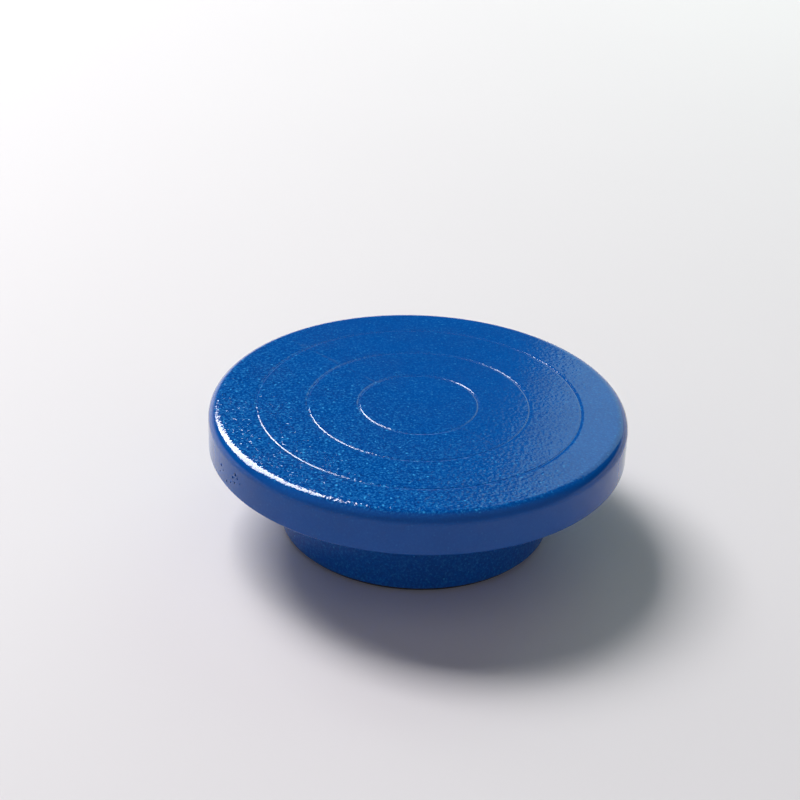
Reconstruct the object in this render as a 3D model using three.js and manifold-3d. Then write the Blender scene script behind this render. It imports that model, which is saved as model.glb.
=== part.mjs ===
import * as THREE from 'three';
import { mergeVertices } from 'three/addons/utils/BufferGeometryUtils.js';
import Module from 'manifold-3d';

// Hand-turned pottery wheel (a small banding wheel). Millimetres, +Z up.
// The origin is on the bench, under the spindle's axis.

// ---- Wheel head: the cast disc that turns ----
const HEAD_RADIUS = 55;
const HEAD_RIM_HEIGHT = 11.3;
const HEAD_RIM_WALL = 4.5;
const HEAD_RIM_DRAFT = 0.8; // extra rim wall at the plate, so the casting leaves its mould
const HEAD_PLATE_THICKNESS = 5.4;
const HEAD_EDGE_ROUNDING = 3.1;
const HEAD_LOWER_CHAMFER = 0.5;
const HEAD_BOSS_MARGIN = 1; // how far the boss stands out past the spindle's flange
const HEAD_BOSS_DRAFT = 0.4;
const HEAD_RIB_COUNT = 4;
const HEAD_RIB_THICKNESS = 3;
const HEAD_RIB_DEPTH = 4.4;
const GROOVE_COUNT = 3;
const GROOVE_EDGE_DISTANCE = 12.2; // outermost centring groove, in from the rim
const GROOVE_PITCH = 13.45;
const GROOVE_WIDTH = 0.8;
const GROOVE_DEPTH = 0.5;

// ---- Base: the cast housing that stands on the bench ----
const BASE_RADIUS = 36;
const BASE_HEIGHT = 22.6; // bench to the top of the housing
const BASE_TAPER = 1.2; // how much narrower the housing is at its top
const BASE_LIFT = 1; // bench to the underside of the casting
const BASE_WALL = 6;
const BASE_TOP_PLATE = 3.6;
const BASE_LOWER_ROUNDING = 0.9;
const BASE_UPPER_ROUNDING = 1.2;
const BASE_RIB_COUNT = 4;
const BASE_RIB_THICKNESS = 3;
const HUB_WALL = 4;
const HUB_LEAD_IN = 0.5; // chamfer at the mouth of the bearing seat
const LOWER_SHOULDER_THICKNESS = 3.3;
const LOWER_SHOULDER_WIDTH = 3.3;
const COVER_BOSS_RADIUS = 3.6;

// ---- Rubber ring under the base ----
const RING_WIDTH = 3.1;
const RING_THICKNESS = 1.6;
const RING_EDGE_DISTANCE = 1; // ring's outer side, in from the side of the base
const RING_CHAMFER = 0.3;
const RING_CLEARANCE = 0.1;

// ---- Bottom cover ----
const COVER_THICKNESS = 1.5;
const COVER_RECESS = 0.3; // cover's face above the underside of the casting
const COVER_SEAT_WIDTH = 1;
const COVER_CLEARANCE = 0.2;

// ---- Ball bearing: 15 x 35 x 11, eight balls, shielded ----
const BEARING_BORE = 15;
const BEARING_OUTER = 35;
const BEARING_WIDTH = 11;
const BEARING_RECESS = 5.1; // bearing's top face below the top of the housing
const BALL_COUNT = 8;
const BALL_RADIUS = 2.9765;
const RACEWAY_CLEARANCE = 0.25;
const LAND_OFFSET = 1.65; // ring shoulders, inwards and outwards from the ball circle
const SHIELD_THICKNESS = 0.4;
const SHIELD_SEAT_WIDTH = 1.05;
const SHIELD_INSET = 1; // depth of the shield's seat in the outer ring's face
const SHIELD_GAP = 0.2;
const SEAT_CLEARANCE = 0.03; // bearing seats, on the shaft and in the housing
const RING_FACE_CHAMFER = 0.4;

// ---- Ribbon cage of the bearing ----
const CAGE_THICKNESS = 0.6;
const CAGE_HALF_WIDTH = 1.3;
const CAGE_BALL_GAP = 0.3;
const RIVET_RADIUS = 0.4;
const RIVET_HEAD_RADIUS = 0.75;
const RIVET_HEAD_HEIGHT = 0.35;
const RIVET_CLEARANCE = 0.06;

// ---- Spindle ----
const RUNNING_GAP = 1.1; // top of the housing to the underside of the rim
const BOSS_GAP = 0.4; // top of the housing to the underside of the head's boss
const FLANGE_THICKNESS = 3;
const FLANGE_MARGIN = 0.35; // metal left round each screw head
const SHOULDER_WIDTH = 1.3;
const SPIGOT_RADIUS = 8;
const SPIGOT_HEIGHT = 3;
const SPIGOT_CLEARANCE = 0.1;
const SPINDLE_END_LAND = 0.8; // metal below the circlip's groove
const SPINDLE_CHAMFER = 0.4;
const WASHER_THICKNESS = 1;
const WASHER_WIDTH = 2.9;
const WASHER_CLEARANCE = 0.13;

// ---- Circlips: split spring rings with two holes for the pliers ----
const SHAFT_CLIP = { thickness: 1, depth: 0.35, width: 2, lugRadius: 1.5, holeRadius: 0.8, opening: 2.2 };
const BORE_CLIP = { thickness: 1.5, depth: 1, width: 2.6, lugRadius: 1.8, holeRadius: 1, opening: 4 };
const CLIP_CLEARANCE = 0.1;

// ---- Countersunk screws with a hexagon socket ----
const SCREW_RADIUS = 1.5;
const SCREW_HEAD_RADIUS = 2.75;
const SCREW_CLEARANCE = 0.06;
const SCREW_TIP_CHAMFER = 0.4;
const SOCKET_RADIUS = 1.15;
const SOCKET_DEPTH = 0.9;
const FLANGE_SCREW_COUNT = 4;
const FLANGE_SCREW_LENGTH = 10;
const COVER_SCREW_COUNT = 4;
const COVER_SCREW_LENGTH = 8;
const BLIND_HOLE_ALLOWANCE = 0.8; // depth left below a screw's tip

// ---- Fineness of the facets ----
const HEAD_SEGMENTS = 48;
const ROUND_SEGMENTS = 32;
const SCREW_SEGMENTS = 12;
const SMALL_SEGMENTS = 10;
const RIVET_SEGMENTS = 8;
const CAGE_SEGMENTS = 16;
const ARC_STEPS = 5;
const OVERCUT = 1; // how far a cutter runs past the face it opens
const OVERLAP = 0.5; // how far a rib runs into the wall it joins

// ---- Levels and radii that follow from the sizes above ----
const coverBottomZ = BASE_LIFT + COVER_RECESS;
const coverTopZ = coverBottomZ + COVER_THICKNESS;
const cavityTopZ = BASE_HEIGHT - BASE_TOP_PLATE;
const bearingTopZ = BASE_HEIGHT - BEARING_RECESS;
const bearingBottomZ = bearingTopZ - BEARING_WIDTH;
const bearingMiddleZ = (bearingTopZ + bearingBottomZ) / 2;
const hubBottomZ = bearingBottomZ - LOWER_SHOULDER_THICKNESS;
const washerBottomZ = bearingBottomZ - WASHER_THICKNESS;
const flangeTopZ = BASE_HEIGHT + BOSS_GAP;
const flangeBottomZ = flangeTopZ - FLANGE_THICKNESS;
const rimBottomZ = BASE_HEIGHT + RUNNING_GAP;
const headTopZ = rimBottomZ + HEAD_RIM_HEIGHT;
const plateBottomZ = headTopZ - HEAD_PLATE_THICKNESS;

const boreRadius = BEARING_BORE / 2;
const outerRadius = BEARING_OUTER / 2;
const ballCircle = (boreRadius + outerRadius) / 2;
const innerLand = ballCircle - LAND_OFFSET;
const outerLand = ballCircle + LAND_OFFSET;
const shieldSeatRadius = outerLand + SHIELD_SEAT_WIDTH;
const journalRadius = boreRadius - SEAT_CLEARANCE;
const seatRadius = outerRadius + SEAT_CLEARANCE;
const hubRadius = seatRadius + HUB_WALL;
const cavityRadius = BASE_RADIUS - BASE_WALL;
const coverPocketRadius = cavityRadius + COVER_SEAT_WIDTH;
const coverRadius = coverPocketRadius - COVER_CLEARANCE;
const ringOuterRadius = BASE_RADIUS - RING_EDGE_DISTANCE;
const ringInnerRadius = ringOuterRadius - RING_WIDTH;
const coverScrewCircle = (hubRadius + cavityRadius) / 2;
const shoulderRadius = journalRadius + SHOULDER_WIDTH;
const flangeScrewCircle = shoulderRadius + SCREW_HEAD_RADIUS + FLANGE_MARGIN;
const flangeRadius = flangeScrewCircle + SCREW_HEAD_RADIUS + FLANGE_MARGIN;
const bossRadius = flangeRadius + HEAD_BOSS_MARGIN;

// ---- Finishes ----
const finishes = {
  paint: { color: 0x0b55a8, roughness: 0.35, metalness: 0.2 },
  ground: { color: 0xc3c7cb, roughness: 0.22, metalness: 0.95 },
  pressed: { color: 0xa9adb1, roughness: 0.4, metalness: 0.9 },
  zinc: { color: 0xb9bec4, roughness: 0.38, metalness: 0.85 },
  spring: { color: 0x34363a, roughness: 0.5, metalness: 0.7 },
  rubber: { color: 0x17181a, roughness: 0.85, metalness: 0 },
};

const wasm = await Module();
wasm.setup();

// ---- Helpers ----

/** Turns a closed three.js geometry into a solid that can be cut and joined. */
function solidOf(geometry) {
  geometry.deleteAttribute('normal');
  geometry.deleteAttribute('uv');
  const merged = mergeVertices(geometry, 1e-4);
  const corners = merged.index.array;
  const faces = [];
  for (let i = 0; i < corners.length; i += 3) {
    const [a, b, c] = corners.slice(i, i + 3);
    if (a !== b && b !== c && c !== a) {
      faces.push(a, b, c);
    }
  }
  const vertProperties = merged.attributes.position.array;
  return new wasm.Manifold(new wasm.Mesh({ numProp: 3, vertProperties, triVerts: new Uint32Array(faces) }));
}

/** Solid of revolution about Z. The [radius, z] outline runs anticlockwise, the axis on its left. */
function turned(outline, segments = ROUND_SEGMENTS) {
  const points = outline.map(([r, z]) => new THREE.Vector2(r, z));
  return solidOf(new THREE.LatheGeometry(points, segments).rotateX(Math.PI / 2));
}

/** Flat ring with a rectangular section. */
function ring(inner, outer, bottom, top, segments = ROUND_SEGMENTS) {
  return turned([[inner, bottom], [outer, bottom], [outer, top], [inner, top], [inner, bottom]], segments);
}

/** Upright cylinder between two levels. */
function cylinder(radius, bottom, top, x = 0, y = 0, segments = SCREW_SEGMENTS) {
  const geometry = new THREE.CylinderGeometry(radius, radius, top - bottom, segments).rotateX(Math.PI / 2);
  return solidOf(geometry.translate(x, y, (top + bottom) / 2));
}

/** Radial web: a box from one radius to another, at an angle about Z. */
function web(from, to, thickness, bottom, top, angle) {
  const geometry = new THREE.BoxGeometry(to - from, thickness, top - bottom);
  geometry.translate((from + to) / 2, 0, (top + bottom) / 2);
  return solidOf(geometry.rotateZ(angle));
}

/** Points of a circular arc in the [radius, z] plane, both ends included. */
function arc(centreR, centreZ, radius, from, to, steps = ARC_STEPS) {
  const points = [];
  for (let i = 0; i <= steps; i += 1) {
    const angle = from + ((to - from) * i) / steps;
    points.push([centreR + radius * Math.cos(angle), centreZ + radius * Math.sin(angle)]);
  }
  return points;
}

/** Evenly spaced places on a circle about Z. */
function around(count, radius, start = 0) {
  return Array.from({ length: count }, (_, i) => {
    const angle = start + (2 * Math.PI * i) / count;
    return { angle, x: radius * Math.cos(angle), y: radius * Math.sin(angle) };
  });
}

/** Named mesh of a solid, in its own material. */
function piece(name, solid, finish) {
  const { vertProperties, triVerts } = solid.getMesh();
  const geometry = new THREE.BufferGeometry();
  geometry.setAttribute('position', new THREE.BufferAttribute(new Float32Array(vertProperties), 3));
  geometry.setIndex(new THREE.BufferAttribute(new Uint32Array(triVerts), 1));
  geometry.computeVertexNormals();
  const mesh = new THREE.Mesh(geometry, new THREE.MeshStandardMaterial(finish));
  mesh.name = name;
  return mesh;
}

// ---- Countersunk screw, its head's face at z = 0 and its shank pointing up ----

function screwSolid(length) {
  const coneHeight = SCREW_HEAD_RADIUS - SCREW_RADIUS;
  const body = turned([
    [0, 0],
    [SCREW_HEAD_RADIUS, 0],
    [SCREW_RADIUS, coneHeight],
    [SCREW_RADIUS, length - SCREW_TIP_CHAMFER],
    [SCREW_RADIUS - SCREW_TIP_CHAMFER, length],
    [0, length],
  ], SCREW_SEGMENTS);
  return body.subtract(cylinder(SOCKET_RADIUS, -OVERCUT, SOCKET_DEPTH, 0, 0, 6));
}

/** Countersunk clearance hole for such a screw, through a plate whose face is at `bottom`. */
function countersink(bottom, top, { x, y }) {
  const rim = SCREW_HEAD_RADIUS + SCREW_CLEARANCE;
  const shank = SCREW_RADIUS + SCREW_CLEARANCE;
  const hole = turned([
    [0, bottom - OVERCUT],
    [rim, bottom - OVERCUT],
    [rim, bottom],
    [shank, bottom + rim - shank],
    [shank, top + OVERCUT],
    [0, top + OVERCUT],
  ], SCREW_SEGMENTS);
  return hole.translate([x, y, 0]);
}

function screws(label, length, places, z) {
  return places.map(({ x, y }, i) => {
    const screw = piece(`${label}_${i + 1}`, screwSolid(length), finishes.zinc);
    screw.position.set(x, y, z);
    return screw;
  });
}

const flangeScrewPlaces = around(FLANGE_SCREW_COUNT, flangeScrewCircle);
const coverScrewPlaces = around(COVER_SCREW_COUNT, coverScrewCircle, Math.PI / BASE_RIB_COUNT);

// ---- Circlips ----

/** Split ring from z = 0, open towards +X, with its two plier lugs centred on the given radius. */
function clipSolid(clip, inner, outer, lugCircle) {
  const { thickness, lugRadius, holeRadius, opening } = clip;
  const gap = web(0, outer + OVERCUT, opening, -OVERCUT, thickness + OVERCUT, 0);
  let body = ring(inner, outer, 0, thickness).subtract(gap);
  for (const side of [-1, 1]) {
    const y = side * (opening / 2 + lugRadius);
    const x = Math.sqrt(lugCircle ** 2 - y ** 2);
    body = body.add(cylinder(lugRadius, 0, thickness, x, y));
    body = body.subtract(cylinder(holeRadius, -OVERCUT, thickness + OVERCUT, x, y, SMALL_SEGMENTS));
  }
  return body;
}

function spindleCirclip() {
  const inner = journalRadius - SHAFT_CLIP.depth + CLIP_CLEARANCE;
  const outer = inner + SHAFT_CLIP.width;
  const shaft = cylinder(inner, -OVERCUT, SHAFT_CLIP.thickness + OVERCUT, 0, 0, ROUND_SEGMENTS);
  const clip = clipSolid(SHAFT_CLIP, inner, outer, outer).subtract(shaft);
  const bottom = washerBottomZ - SHAFT_CLIP.thickness;
  return piece('spindle_circlip', clip.translate([0, 0, bottom]), finishes.spring);
}

function housingCirclip() {
  const outer = seatRadius + BORE_CLIP.depth - CLIP_CLEARANCE;
  const inner = outer - BORE_CLIP.width;
  const clip = clipSolid(BORE_CLIP, inner, outer, inner);
  return piece('housing_circlip', clip.translate([0, 0, bearingTopZ]), finishes.spring);
}

// ---- Base ----

function baseHousing() {
  const grooveTopZ = bearingTopZ + BORE_CLIP.thickness + CLIP_CLEARANCE;
  const grooveRadius = seatRadius + BORE_CLIP.depth;
  const shoulderHole = outerRadius - LOWER_SHOULDER_WIDTH;
  const topRadius = BASE_RADIUS - BASE_TAPER;
  const ringPocketTopZ = RING_THICKNESS;
  const lowerArcR = BASE_RADIUS - BASE_LOWER_ROUNDING;
  const upperArcR = topRadius - BASE_UPPER_ROUNDING;
  const lowerArcZ = BASE_LIFT + BASE_LOWER_ROUNDING;
  const upperArcZ = BASE_HEIGHT - BASE_UPPER_ROUNDING;
  let casting = turned([
    [shoulderHole, hubBottomZ],
    [hubRadius, hubBottomZ],
    [hubRadius, cavityTopZ],
    [cavityRadius, cavityTopZ],
    [cavityRadius, coverTopZ],
    [coverPocketRadius, coverTopZ],
    [coverPocketRadius, BASE_LIFT],
    [ringInnerRadius - RING_CLEARANCE, BASE_LIFT],
    [ringInnerRadius - RING_CLEARANCE, ringPocketTopZ],
    [ringOuterRadius + RING_CLEARANCE, ringPocketTopZ],
    [ringOuterRadius + RING_CLEARANCE, BASE_LIFT],
    ...arc(lowerArcR, lowerArcZ, BASE_LOWER_ROUNDING, -Math.PI / 2, 0, 3).slice(1),
    ...arc(upperArcR, upperArcZ, BASE_UPPER_ROUNDING, 0, Math.PI / 2, 4),
    [seatRadius + HUB_LEAD_IN, BASE_HEIGHT],
    [seatRadius, BASE_HEIGHT - HUB_LEAD_IN],
    [seatRadius, grooveTopZ],
    [grooveRadius, grooveTopZ],
    [grooveRadius, bearingTopZ],
    [seatRadius, bearingTopZ],
    [seatRadius, bearingBottomZ],
    [shoulderHole, bearingBottomZ],
    [shoulderHole, hubBottomZ],
  ]);
  for (const { angle } of around(BASE_RIB_COUNT, 1, Math.PI / BASE_RIB_COUNT)) {
    const from = hubRadius - OVERLAP;
    const to = cavityRadius + OVERLAP;
    casting = casting.add(web(from, to, BASE_RIB_THICKNESS, hubBottomZ, cavityTopZ + OVERLAP, angle));
  }
  for (const { x, y } of coverScrewPlaces) {
    const depth = coverBottomZ + COVER_SCREW_LENGTH + BLIND_HOLE_ALLOWANCE;
    casting = casting.add(cylinder(COVER_BOSS_RADIUS, coverTopZ, cavityTopZ + OVERLAP, x, y));
    casting = casting.subtract(cylinder(SCREW_RADIUS + SCREW_CLEARANCE, coverTopZ - OVERCUT, depth, x, y));
  }
  return piece('base_housing', casting, finishes.paint);
}

function bottomCover() {
  let cover = cylinder(coverRadius, coverBottomZ, coverTopZ, 0, 0, ROUND_SEGMENTS);
  for (const place of coverScrewPlaces) {
    cover = cover.subtract(countersink(coverBottomZ, coverTopZ, place));
  }
  return piece('bottom_cover', cover, finishes.zinc);
}

function antislipRing() {
  const section = [
    [ringInnerRadius + RING_CHAMFER, 0],
    [ringOuterRadius - RING_CHAMFER, 0],
    [ringOuterRadius, RING_CHAMFER],
    [ringOuterRadius, RING_THICKNESS],
    [ringInnerRadius, RING_THICKNESS],
    [ringInnerRadius, RING_CHAMFER],
    [ringInnerRadius + RING_CHAMFER, 0],
  ];
  return piece('antislip_ring', turned(section), finishes.rubber);
}

// ---- Ball bearing ----

const racewayRadius = BALL_RADIUS + RACEWAY_CLEARANCE;
/** Half angle of the raceway's arc, where it meets the ring's shoulder. */
const racewayAngle = Math.acos(LAND_OFFSET / racewayRadius);

function bearingInnerRing() {
  const start = Math.PI + racewayAngle;
  const end = Math.PI - racewayAngle;
  const raceway = arc(ballCircle, bearingMiddleZ, racewayRadius, start, end);
  const section = [
    [boreRadius, bearingBottomZ + RING_FACE_CHAMFER],
    [boreRadius + RING_FACE_CHAMFER, bearingBottomZ],
    [innerLand, bearingBottomZ],
    ...raceway,
    [innerLand, bearingTopZ],
    [boreRadius + RING_FACE_CHAMFER, bearingTopZ],
    [boreRadius, bearingTopZ - RING_FACE_CHAMFER],
    [boreRadius, bearingBottomZ + RING_FACE_CHAMFER],
  ];
  return piece('bearing_inner_ring', turned(section), finishes.ground);
}

function bearingOuterRing() {
  const raceway = arc(ballCircle, bearingMiddleZ, racewayRadius, racewayAngle, -racewayAngle);
  const section = [
    [shieldSeatRadius, bearingBottomZ],
    [outerRadius - RING_FACE_CHAMFER, bearingBottomZ],
    [outerRadius, bearingBottomZ + RING_FACE_CHAMFER],
    [outerRadius, bearingTopZ - RING_FACE_CHAMFER],
    [outerRadius - RING_FACE_CHAMFER, bearingTopZ],
    [shieldSeatRadius, bearingTopZ],
    [shieldSeatRadius, bearingTopZ - SHIELD_INSET],
    [outerLand, bearingTopZ - SHIELD_INSET],
    ...raceway,
    [outerLand, bearingBottomZ + SHIELD_INSET],
    [shieldSeatRadius, bearingBottomZ + SHIELD_INSET],
    [shieldSeatRadius, bearingBottomZ],
  ];
  return piece('bearing_outer_ring', turned(section), finishes.ground);
}

function bearingShield(name, bottom) {
  const inner = innerLand + SHIELD_GAP;
  const outer = shieldSeatRadius - SEAT_CLEARANCE;
  return piece(name, ring(inner, outer, bottom, bottom + SHIELD_THICKNESS), finishes.pressed);
}

const ballPlaces = around(BALL_COUNT, ballCircle);
const rivetPlaces = around(BALL_COUNT, ballCircle, Math.PI / BALL_COUNT);

function balls() {
  return ballPlaces.map(({ x, y }, i) => {
    const sphere = new THREE.SphereGeometry(BALL_RADIUS, SMALL_SEGMENTS, SMALL_SEGMENTS - 2);
    const ball = piece(`ball_${i + 1}`, solidOf(sphere.rotateX(Math.PI / 2)), finishes.ground);
    ball.position.set(x, y, bearingMiddleZ);
    return ball;
  });
}

/** Upper half of the pressed cage from z = 0: a flat ring with a domed pocket over each ball. */
function cageHalf() {
  const pocketRadius = BALL_RADIUS + CAGE_BALL_GAP;
  const inner = ballCircle - CAGE_HALF_WIDTH;
  const outer = ballCircle + CAGE_HALF_WIDTH;
  const domeRadius = pocketRadius + CAGE_THICKNESS;
  const sphere = (radius, { x, y }) => {
    const geometry = new THREE.SphereGeometry(radius, SMALL_SEGMENTS, SMALL_SEGMENTS - 2);
    geometry.rotateX(Math.PI / 2);
    return solidOf(geometry.translate(x, y, 0));
  };
  let half = ring(inner, outer, 0, CAGE_THICKNESS, CAGE_SEGMENTS);
  const band = ring(inner, outer, 0, domeRadius + OVERCUT, CAGE_SEGMENTS);
  for (const place of ballPlaces) {
    half = half.add(sphere(domeRadius, place).intersect(band));
  }
  for (const place of ballPlaces) {
    half = half.subtract(sphere(pocketRadius, place));
  }
  for (const { x, y } of rivetPlaces) {
    const holeRadius = RIVET_RADIUS + RIVET_CLEARANCE;
    const hole = cylinder(holeRadius, -OVERCUT, CAGE_THICKNESS + OVERCUT, x, y, RIVET_SEGMENTS);
    half = half.subtract(hole);
  }
  return half;
}

function cage() {
  const upper = piece('cage_upper', cageHalf(), finishes.pressed);
  const lower = piece('cage_lower', cageHalf().rotate([180, 0, 0]), finishes.pressed);
  upper.position.z = bearingMiddleZ;
  lower.position.z = bearingMiddleZ;
  return [upper, lower];
}

function cageRivets() {
  const seat = CAGE_THICKNESS;
  const tip = seat + RIVET_HEAD_HEIGHT;
  const section = [
    [0, -tip],
    [RIVET_HEAD_RADIUS, -tip],
    [RIVET_HEAD_RADIUS, -seat],
    [RIVET_RADIUS, -seat],
    [RIVET_RADIUS, seat],
    [RIVET_HEAD_RADIUS, seat],
    [RIVET_HEAD_RADIUS, tip],
    [0, tip],
  ];
  return rivetPlaces.map(({ x, y }, i) => {
    const rivet = piece(`cage_rivet_${i + 1}`, turned(section, RIVET_SEGMENTS), finishes.pressed);
    rivet.position.set(x, y, bearingMiddleZ);
    return rivet;
  });
}

// ---- Spindle and head ----

function spindle() {
  const grooveBottomZ = washerBottomZ - SHAFT_CLIP.thickness - CLIP_CLEARANCE;
  const grooveRadius = journalRadius - SHAFT_CLIP.depth;
  const endZ = grooveBottomZ - SPINDLE_END_LAND;
  let shaft = turned([
    [0, endZ],
    [journalRadius - SPINDLE_CHAMFER, endZ],
    [journalRadius, endZ + SPINDLE_CHAMFER],
    [journalRadius, grooveBottomZ],
    [grooveRadius, grooveBottomZ],
    [grooveRadius, washerBottomZ],
    [journalRadius, washerBottomZ],
    [journalRadius, bearingTopZ],
    [shoulderRadius, bearingTopZ],
    [shoulderRadius, flangeBottomZ],
    [flangeRadius - SPINDLE_CHAMFER, flangeBottomZ],
    [flangeRadius, flangeBottomZ + SPINDLE_CHAMFER],
    [flangeRadius, flangeTopZ],
    [SPIGOT_RADIUS, flangeTopZ],
    [SPIGOT_RADIUS, flangeTopZ + SPIGOT_HEIGHT],
    [0, flangeTopZ + SPIGOT_HEIGHT],
  ]);
  for (const place of flangeScrewPlaces) {
    shaft = shaft.subtract(countersink(flangeBottomZ, flangeTopZ, place));
  }
  return piece('spindle', shaft, finishes.ground);
}

function spindleWasher() {
  const inner = journalRadius + WASHER_CLEARANCE;
  const washer = ring(inner, inner + WASHER_WIDTH, washerBottomZ, bearingBottomZ);
  return piece('spindle_washer', washer, finishes.zinc);
}

/** Centring grooves in the top face, listed from the rim inwards, each cut to a V. */
function grooveOutline() {
  const points = [];
  for (let i = 0; i < GROOVE_COUNT; i += 1) {
    const radius = HEAD_RADIUS - GROOVE_EDGE_DISTANCE - i * GROOVE_PITCH;
    points.push([radius + GROOVE_WIDTH / 2, headTopZ]);
    points.push([radius, headTopZ - GROOVE_DEPTH]);
    points.push([radius - GROOVE_WIDTH / 2, headTopZ]);
  }
  return points;
}

function wheelHead() {
  const rimInner = HEAD_RADIUS - HEAD_RIM_WALL;
  const edgeR = HEAD_RADIUS - HEAD_EDGE_ROUNDING;
  const edgeZ = headTopZ - HEAD_EDGE_ROUNDING;
  const socketRadius = SPIGOT_RADIUS + SPIGOT_CLEARANCE;
  const socketTopZ = flangeTopZ + SPIGOT_HEIGHT + SPIGOT_CLEARANCE;
  let disc = turned([
    [0, socketTopZ],
    [socketRadius, socketTopZ],
    [socketRadius, flangeTopZ],
    [bossRadius, flangeTopZ],
    [bossRadius + HEAD_BOSS_DRAFT, plateBottomZ],
    [rimInner - HEAD_RIM_DRAFT, plateBottomZ],
    [rimInner, rimBottomZ],
    [HEAD_RADIUS - HEAD_LOWER_CHAMFER, rimBottomZ],
    [HEAD_RADIUS, rimBottomZ + HEAD_LOWER_CHAMFER],
    ...arc(edgeR, edgeZ, HEAD_EDGE_ROUNDING, 0, Math.PI / 2),
    ...grooveOutline(),
    [0, headTopZ],
  ], HEAD_SEGMENTS);
  for (const { angle } of around(HEAD_RIB_COUNT, 1, Math.PI / HEAD_RIB_COUNT)) {
    const ribBottomZ = plateBottomZ - HEAD_RIB_DEPTH;
    const top = plateBottomZ + OVERLAP;
    const rib = web(bossRadius - OVERLAP, rimInner + OVERLAP, HEAD_RIB_THICKNESS, ribBottomZ, top, angle);
    disc = disc.add(rib);
  }
  for (const { x, y } of flangeScrewPlaces) {
    const depth = flangeBottomZ + FLANGE_SCREW_LENGTH + BLIND_HOLE_ALLOWANCE;
    disc = disc.subtract(cylinder(SCREW_RADIUS + SCREW_CLEARANCE, flangeTopZ - OVERCUT, depth, x, y));
  }
  return piece('wheel_head', disc, finishes.paint);
}

// ---- Assembly ----

const base = new THREE.Group();
base.add(baseHousing(), bottomCover(), antislipRing(), housingCirclip());
base.add(...screws('cover_screw', COVER_SCREW_LENGTH, coverScrewPlaces, coverBottomZ));
base.add(bearingOuterRing());
base.add(bearingShield('bearing_upper_shield', bearingTopZ - SHIELD_INSET));
base.add(bearingShield('bearing_lower_shield', bearingBottomZ + SHIELD_INSET - SHIELD_THICKNESS));

const rolling = new THREE.Group();
rolling.add(...balls(), ...cage(), ...cageRivets());

const turning = new THREE.Group();
turning.add(wheelHead(), spindle(), bearingInnerRing(), spindleWasher(), spindleCirclip());
turning.add(...screws('flange_screw', FLANGE_SCREW_LENGTH, flangeScrewPlaces, flangeBottomZ));

const potteryWheel = new THREE.Group();
potteryWheel.name = 'pottery_wheel';
potteryWheel.add(base, rolling, turning);

export default potteryWheel;
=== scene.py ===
"""Small hand-turned pottery wheel: a painted cast disc on a ball bearing in a low round base.

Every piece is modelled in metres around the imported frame, +Z up, with the origin on the bench under
the spindle's axis. Each sub-assembly is a class that builds its meshes and dresses them in a finish.
"""

import logging
import math
from abc import ABC, abstractmethod
from dataclasses import dataclass
from enum import Enum
from typing import Iterable, Iterator, Sequence

import bmesh
import bpy
from mathutils import Matrix, Vector

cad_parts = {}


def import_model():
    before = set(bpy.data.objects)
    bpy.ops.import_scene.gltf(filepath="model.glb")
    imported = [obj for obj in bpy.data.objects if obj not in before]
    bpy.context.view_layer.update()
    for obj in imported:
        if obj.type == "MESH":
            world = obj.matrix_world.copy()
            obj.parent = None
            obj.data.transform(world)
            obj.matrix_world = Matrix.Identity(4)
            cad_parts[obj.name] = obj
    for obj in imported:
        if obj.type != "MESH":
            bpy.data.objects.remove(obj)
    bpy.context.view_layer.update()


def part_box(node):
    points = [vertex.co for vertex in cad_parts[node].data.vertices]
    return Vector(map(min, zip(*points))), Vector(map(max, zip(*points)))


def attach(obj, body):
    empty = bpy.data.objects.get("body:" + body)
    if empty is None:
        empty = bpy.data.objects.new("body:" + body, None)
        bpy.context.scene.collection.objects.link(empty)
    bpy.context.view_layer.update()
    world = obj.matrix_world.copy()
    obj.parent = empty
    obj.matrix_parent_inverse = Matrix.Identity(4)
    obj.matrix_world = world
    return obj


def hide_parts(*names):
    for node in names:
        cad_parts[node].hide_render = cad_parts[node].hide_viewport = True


LOG = logging.getLogger("pottery_wheel")

MM = 0.001
TAU = math.tau
AXIS_LIMIT = 1e-7  # a point nearer to the axis than this lies on it
SHARP_ANGLE = math.radians(32.0)
ROUNDING_STEP = math.radians(12.0)  # turn of a rounded corner that each of its facets takes

Point = tuple[float, float]
Color = tuple[float, float, float]


class Body(Enum):
    """The rigid bodies that pieces ride on."""

    BASE = "base"
    WHEEL = "wheel"
    CAGE = "ball_cage"


class Slot(Enum):
    """The record's material slots."""

    PAINT = "blue_paint"
    GROUND = "ground_steel"
    PRESSED = "pressed_steel"
    ZINC = "zinc_steel"
    SPRING = "spring_steel"
    RUBBER = "black_rubber"


class Join(Enum):
    """How one solid changes another."""

    ADD = "UNION"
    CUT = "DIFFERENCE"


# ---------------------------------------------------------------------------------------------
# Outlines and meshes
# ---------------------------------------------------------------------------------------------


@dataclass(frozen=True)
class Corner:
    """A corner of a turned outline.

    Attributes:
        r: Distance from the axis, in metres.
        z: Height above the bench, in metres.
        rounding: Radius that the corner is rounded to, or 0 for a sharp one.
    """

    r: float
    z: float
    rounding: float = 0.0


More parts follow.
